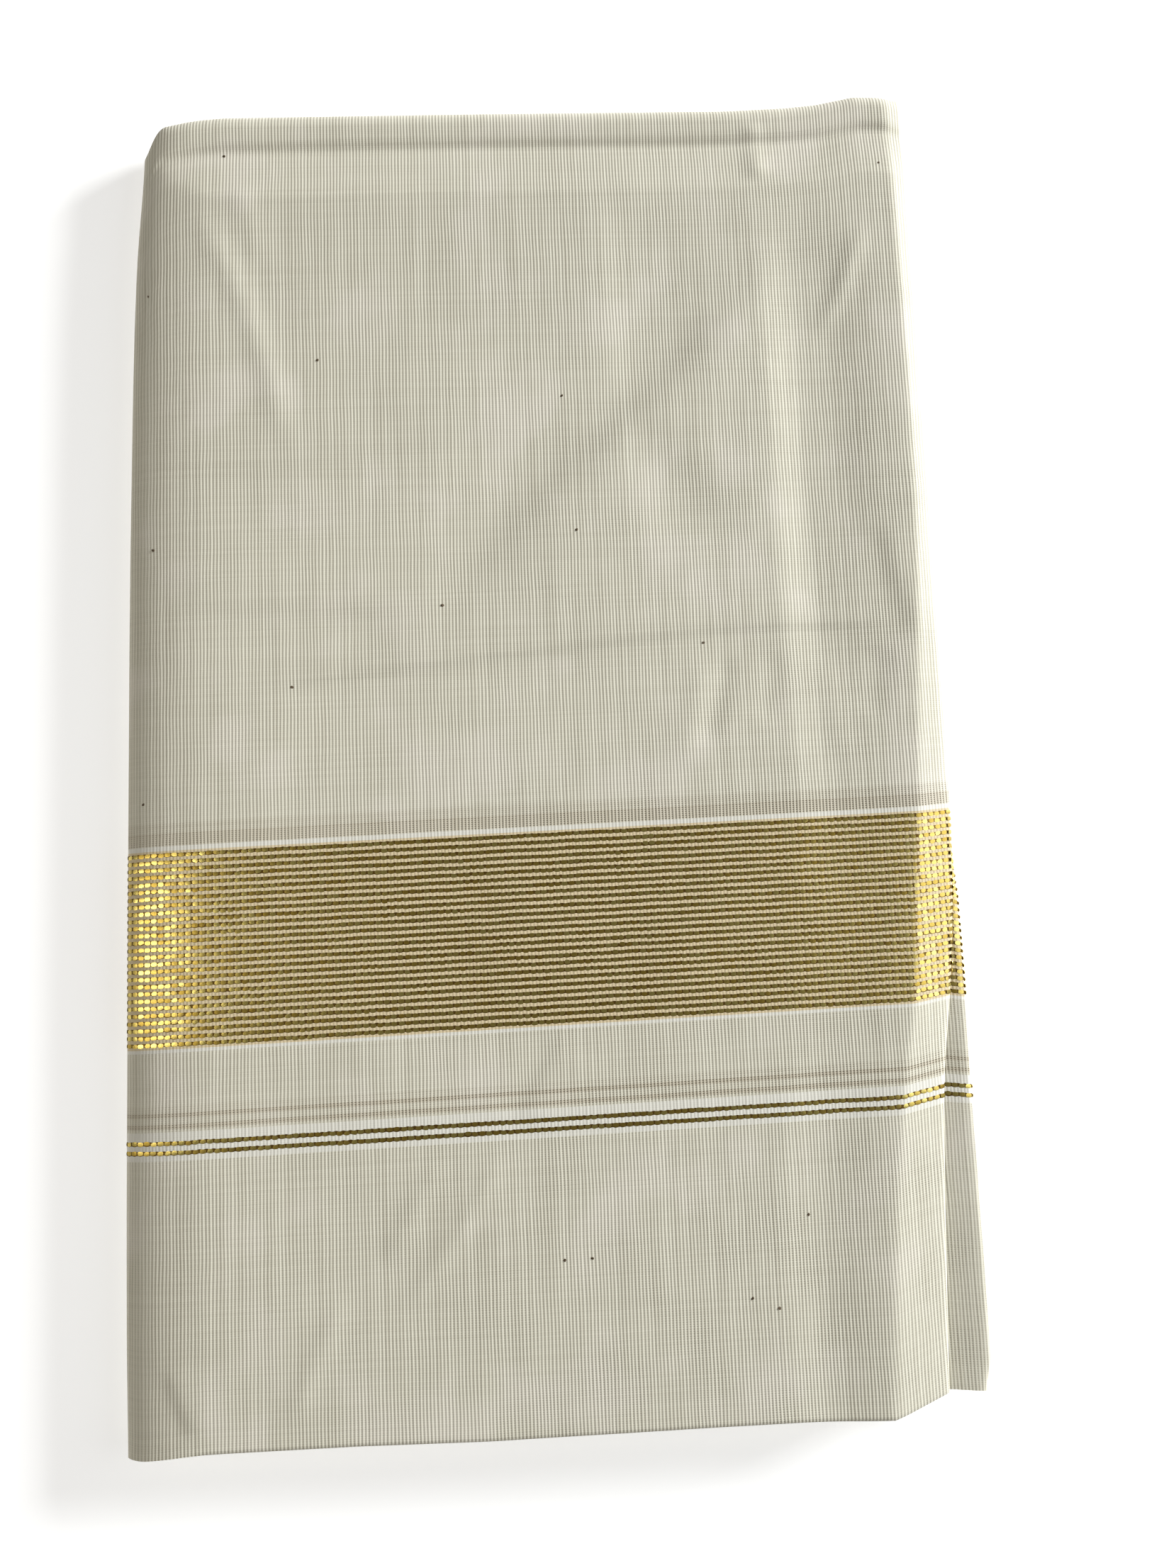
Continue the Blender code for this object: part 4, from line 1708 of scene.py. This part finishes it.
@dataclass
class SeedSpecks:
    """Specks of cotton seed caught in the cloth.

    Attributes:
        length: Length of the largest, in millimetres.
        width: Its width.
        rise: Its height above the cloth.
        tilt: The most one leans, in radians.
        unevenness: How much they differ in size.
    """

    length: float = 1.2
    width: float = 0.85
    rise: float = 0.22
    tilt: float = 0.35
    unevenness: float = 0.35

    def build(self, beads: SeatedBeads, sheets: Sequence[tuple[Array, Array]],
              material: bpy.types.Material) -> bpy.types.Object:
        """Makes the piece.

        Args:
            beads: The tree that seats them.
            sheets: The surfaces they lie on, with their U and V.
            material: Their finish.

        Returns:
            The piece.
        """
        x, y = np.array(SEED_SPECKS).T
        places = np.stack([x, y - thread_lift(x, y)], 1)
        piece = beads.build("seed_specks", places, sheets, material, {
            "Length": self.length * MM, "Width": self.width * MM, "Rise": self.rise * MM,
            "Tilt": self.tilt, "Unevenness": self.unevenness,
        })
        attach(piece, "root")
        return piece


@dataclass
class Packet:
    """The whole folded dhoti.

    Attributes:
        top: The face, in its five stretches.
        second: The ledge at the right.
    """

    top: TopLayers
    second: SecondFold

    def rows(self) -> dict[str, Rows]:
        """The rows of each woven stretch, by the node it replaces."""
        fold = curve_through(BIG_FOLD, 1.0)
        bend = HALF_LENGTH - BIG_FOLD[0][0]
        hem = curve_through(OPEN_END, 0.6)
        hem_top = V_OPEN_END + OPEN_END[-1][0]
        step = self.top.step
        return {
            "field_stretch": Rows.level(V_BAND_HIGH, bend, step).joined(
                Rows.bent(HALF_LENGTH, fold, 1.0)),
            "border_band": Rows.level(V_BAND_LOW, V_BAND_HIGH, step),
            "gap_stretch": Rows.level(V_GUARD_HIGH, V_BAND_LOW, step),
            "guard_lines": Rows.level(V_GUARD_LOW, V_GUARD_HIGH, step),
            "end_stretch": Rows.bent(V_OPEN_END, hem, -1.0).joined(
                Rows.level(hem_top, V_GUARD_LOW, step)),
        }

    def build(self) -> None:
        """Makes every piece."""
        plain = CottonWeave().material()
        border = BorderWeave().material()
        layered = LayerCotton().material()
        LayerEdges().build(layered)
        Underside().build(plain)
        LowerFold().build(plain)
        self.second.build(border)
        rows = self.rows()
        surfaces = {node: self.top.surface(r) for node, r in rows.items()}
        beads = SeatedBeads()
        gold = [surfaces["border_band"], surfaces["guard_lines"], self.second.surface()]
        floats = ZariFloats().build(beads, gold, ZariThread().material())
        specks = SeedSpecks().build(beads, list(surfaces.values()), SeedHusk().material())
        selvedges = Selvedges().build(plain, self.top)
        guard = lay_sheet("guard_cloth", "guard_lines", border,
                          surfaces["guard_lines"])
        for name, node, slot, finish, extras in (
            ("field_cloth", "field_stretch", "cotton", plain, [specks]),
            ("border_cloth", "border_band", "zari", border, [floats]),
            ("gap_cloth", "gap_stretch", "cotton", plain, [guard]),
            ("end_cloth", "end_stretch", "cotton", plain, [selvedges]),
        ):
            lay_sheet(name, node, finish, surfaces[node])


# ---- light and camera ----------------------------------------------------------------
@dataclass(frozen=True)
class SoftLight:
    """A soft box that shines at the packet.

    Attributes:
        name: Its name.
        place: Where it stands, in metres.
        size: Its width and height, in metres.
        power: Its power, in watts.
        colour: Its colour.
    """

    name: str
    place: tuple[float, float, float]
    size: Pair
    power: float
    colour: tuple[float, float, float] = (1.0, 1.0, 1.0)

    def build(self) -> None:
        """Adds the light."""
        light = bpy.data.lights.new(self.name, "AREA")
        light.shape = "RECTANGLE"
        light.size, light.size_y = self.size
        light.energy = self.power
        light.color = self.colour
        box = bpy.data.objects.new(self.name, light)
        box.location = self.place
        box.rotation_euler = (-Vector(self.place)).to_track_quat("-Z", "Y").to_euler()
        bpy.context.scene.collection.objects.link(box)


@dataclass(frozen=True)
class Studio:
    """Floor, lights and camera.

    Attributes:
        lights: The soft boxes.
        room: Colour of the dim room.
        room_strength: Its brightness.
        eye: The camera's place over the packet, in metres.
        turn: The camera's tilt, lean and turn, in degrees.
        lens: Its focal length, in millimetres.
    """

    lights: tuple[SoftLight, ...] = (
        SoftLight("window light", (3.84, 1.84, 1.12), (1.6, 0.96), 376.0, (0.97, 0.99, 1.0)),
        SoftLight("high light", (0.57, -0.095, 0.50), (0.32, 0.42), 0.95, (0.94, 0.98, 1.0)),
        SoftLight("door light", (-0.56, -0.08, 0.52), (0.18, 0.5), 1.10, (1.0, 0.95, 0.85)),
    )
    room: tuple[float, float, float] = (1.0, 0.97, 0.92)
    room_strength: float = 0.138
    eye: tuple[float, float, float] = (-0.0080, -0.0629, 0.3807)
    turn: tuple[float, float, float] = (6.96, -2.90, -2.33)
    lens: float = 28.0

    def build(self) -> None:
        """Adds the floor, the lights, the room and the camera."""
        scene = bpy.context.scene
        mesh = bpy.data.meshes.new("floor")
        mesh.from_pydata([(-3, -3, 0), (3, -3, 0), (3, 3, 0), (-3, 3, 0)], [], [(0, 1, 2, 3)])
        mesh.materials.append(PaleFloor().material())
        floor = bpy.data.objects.new("floor", mesh)
        scene.collection.objects.link(floor)
        for light in self.lights:
            light.build()
        world = bpy.data.worlds.new("room")
        world.use_nodes = True
        background = world.node_tree.nodes["Background"]
        background.inputs["Color"].default_value = (*self.room, 1.0)
        background.inputs["Strength"].default_value = self.room_strength
        scene.world = world
        scene.view_settings.view_transform = "Standard"
        lens = bpy.data.cameras.new("camera")
        lens.lens = self.lens
        lens.sensor_width = 36.0
        lens.clip_start = 0.01
        camera = bpy.data.objects.new("camera", lens)
        camera.location = self.eye
        camera.rotation_euler = Euler([math.radians(angle) for angle in self.turn])
        scene.collection.objects.link(camera)
        scene.camera = camera


def main() -> None:
    """Builds the packet and the studio."""
    logging.basicConfig(level=logging.INFO, format="%(message)s")
    Studio().build()
    Packet(TopLayers(), SecondFold()).build()
    log.info("sizes written")


if __name__ == "__main__":
    main()
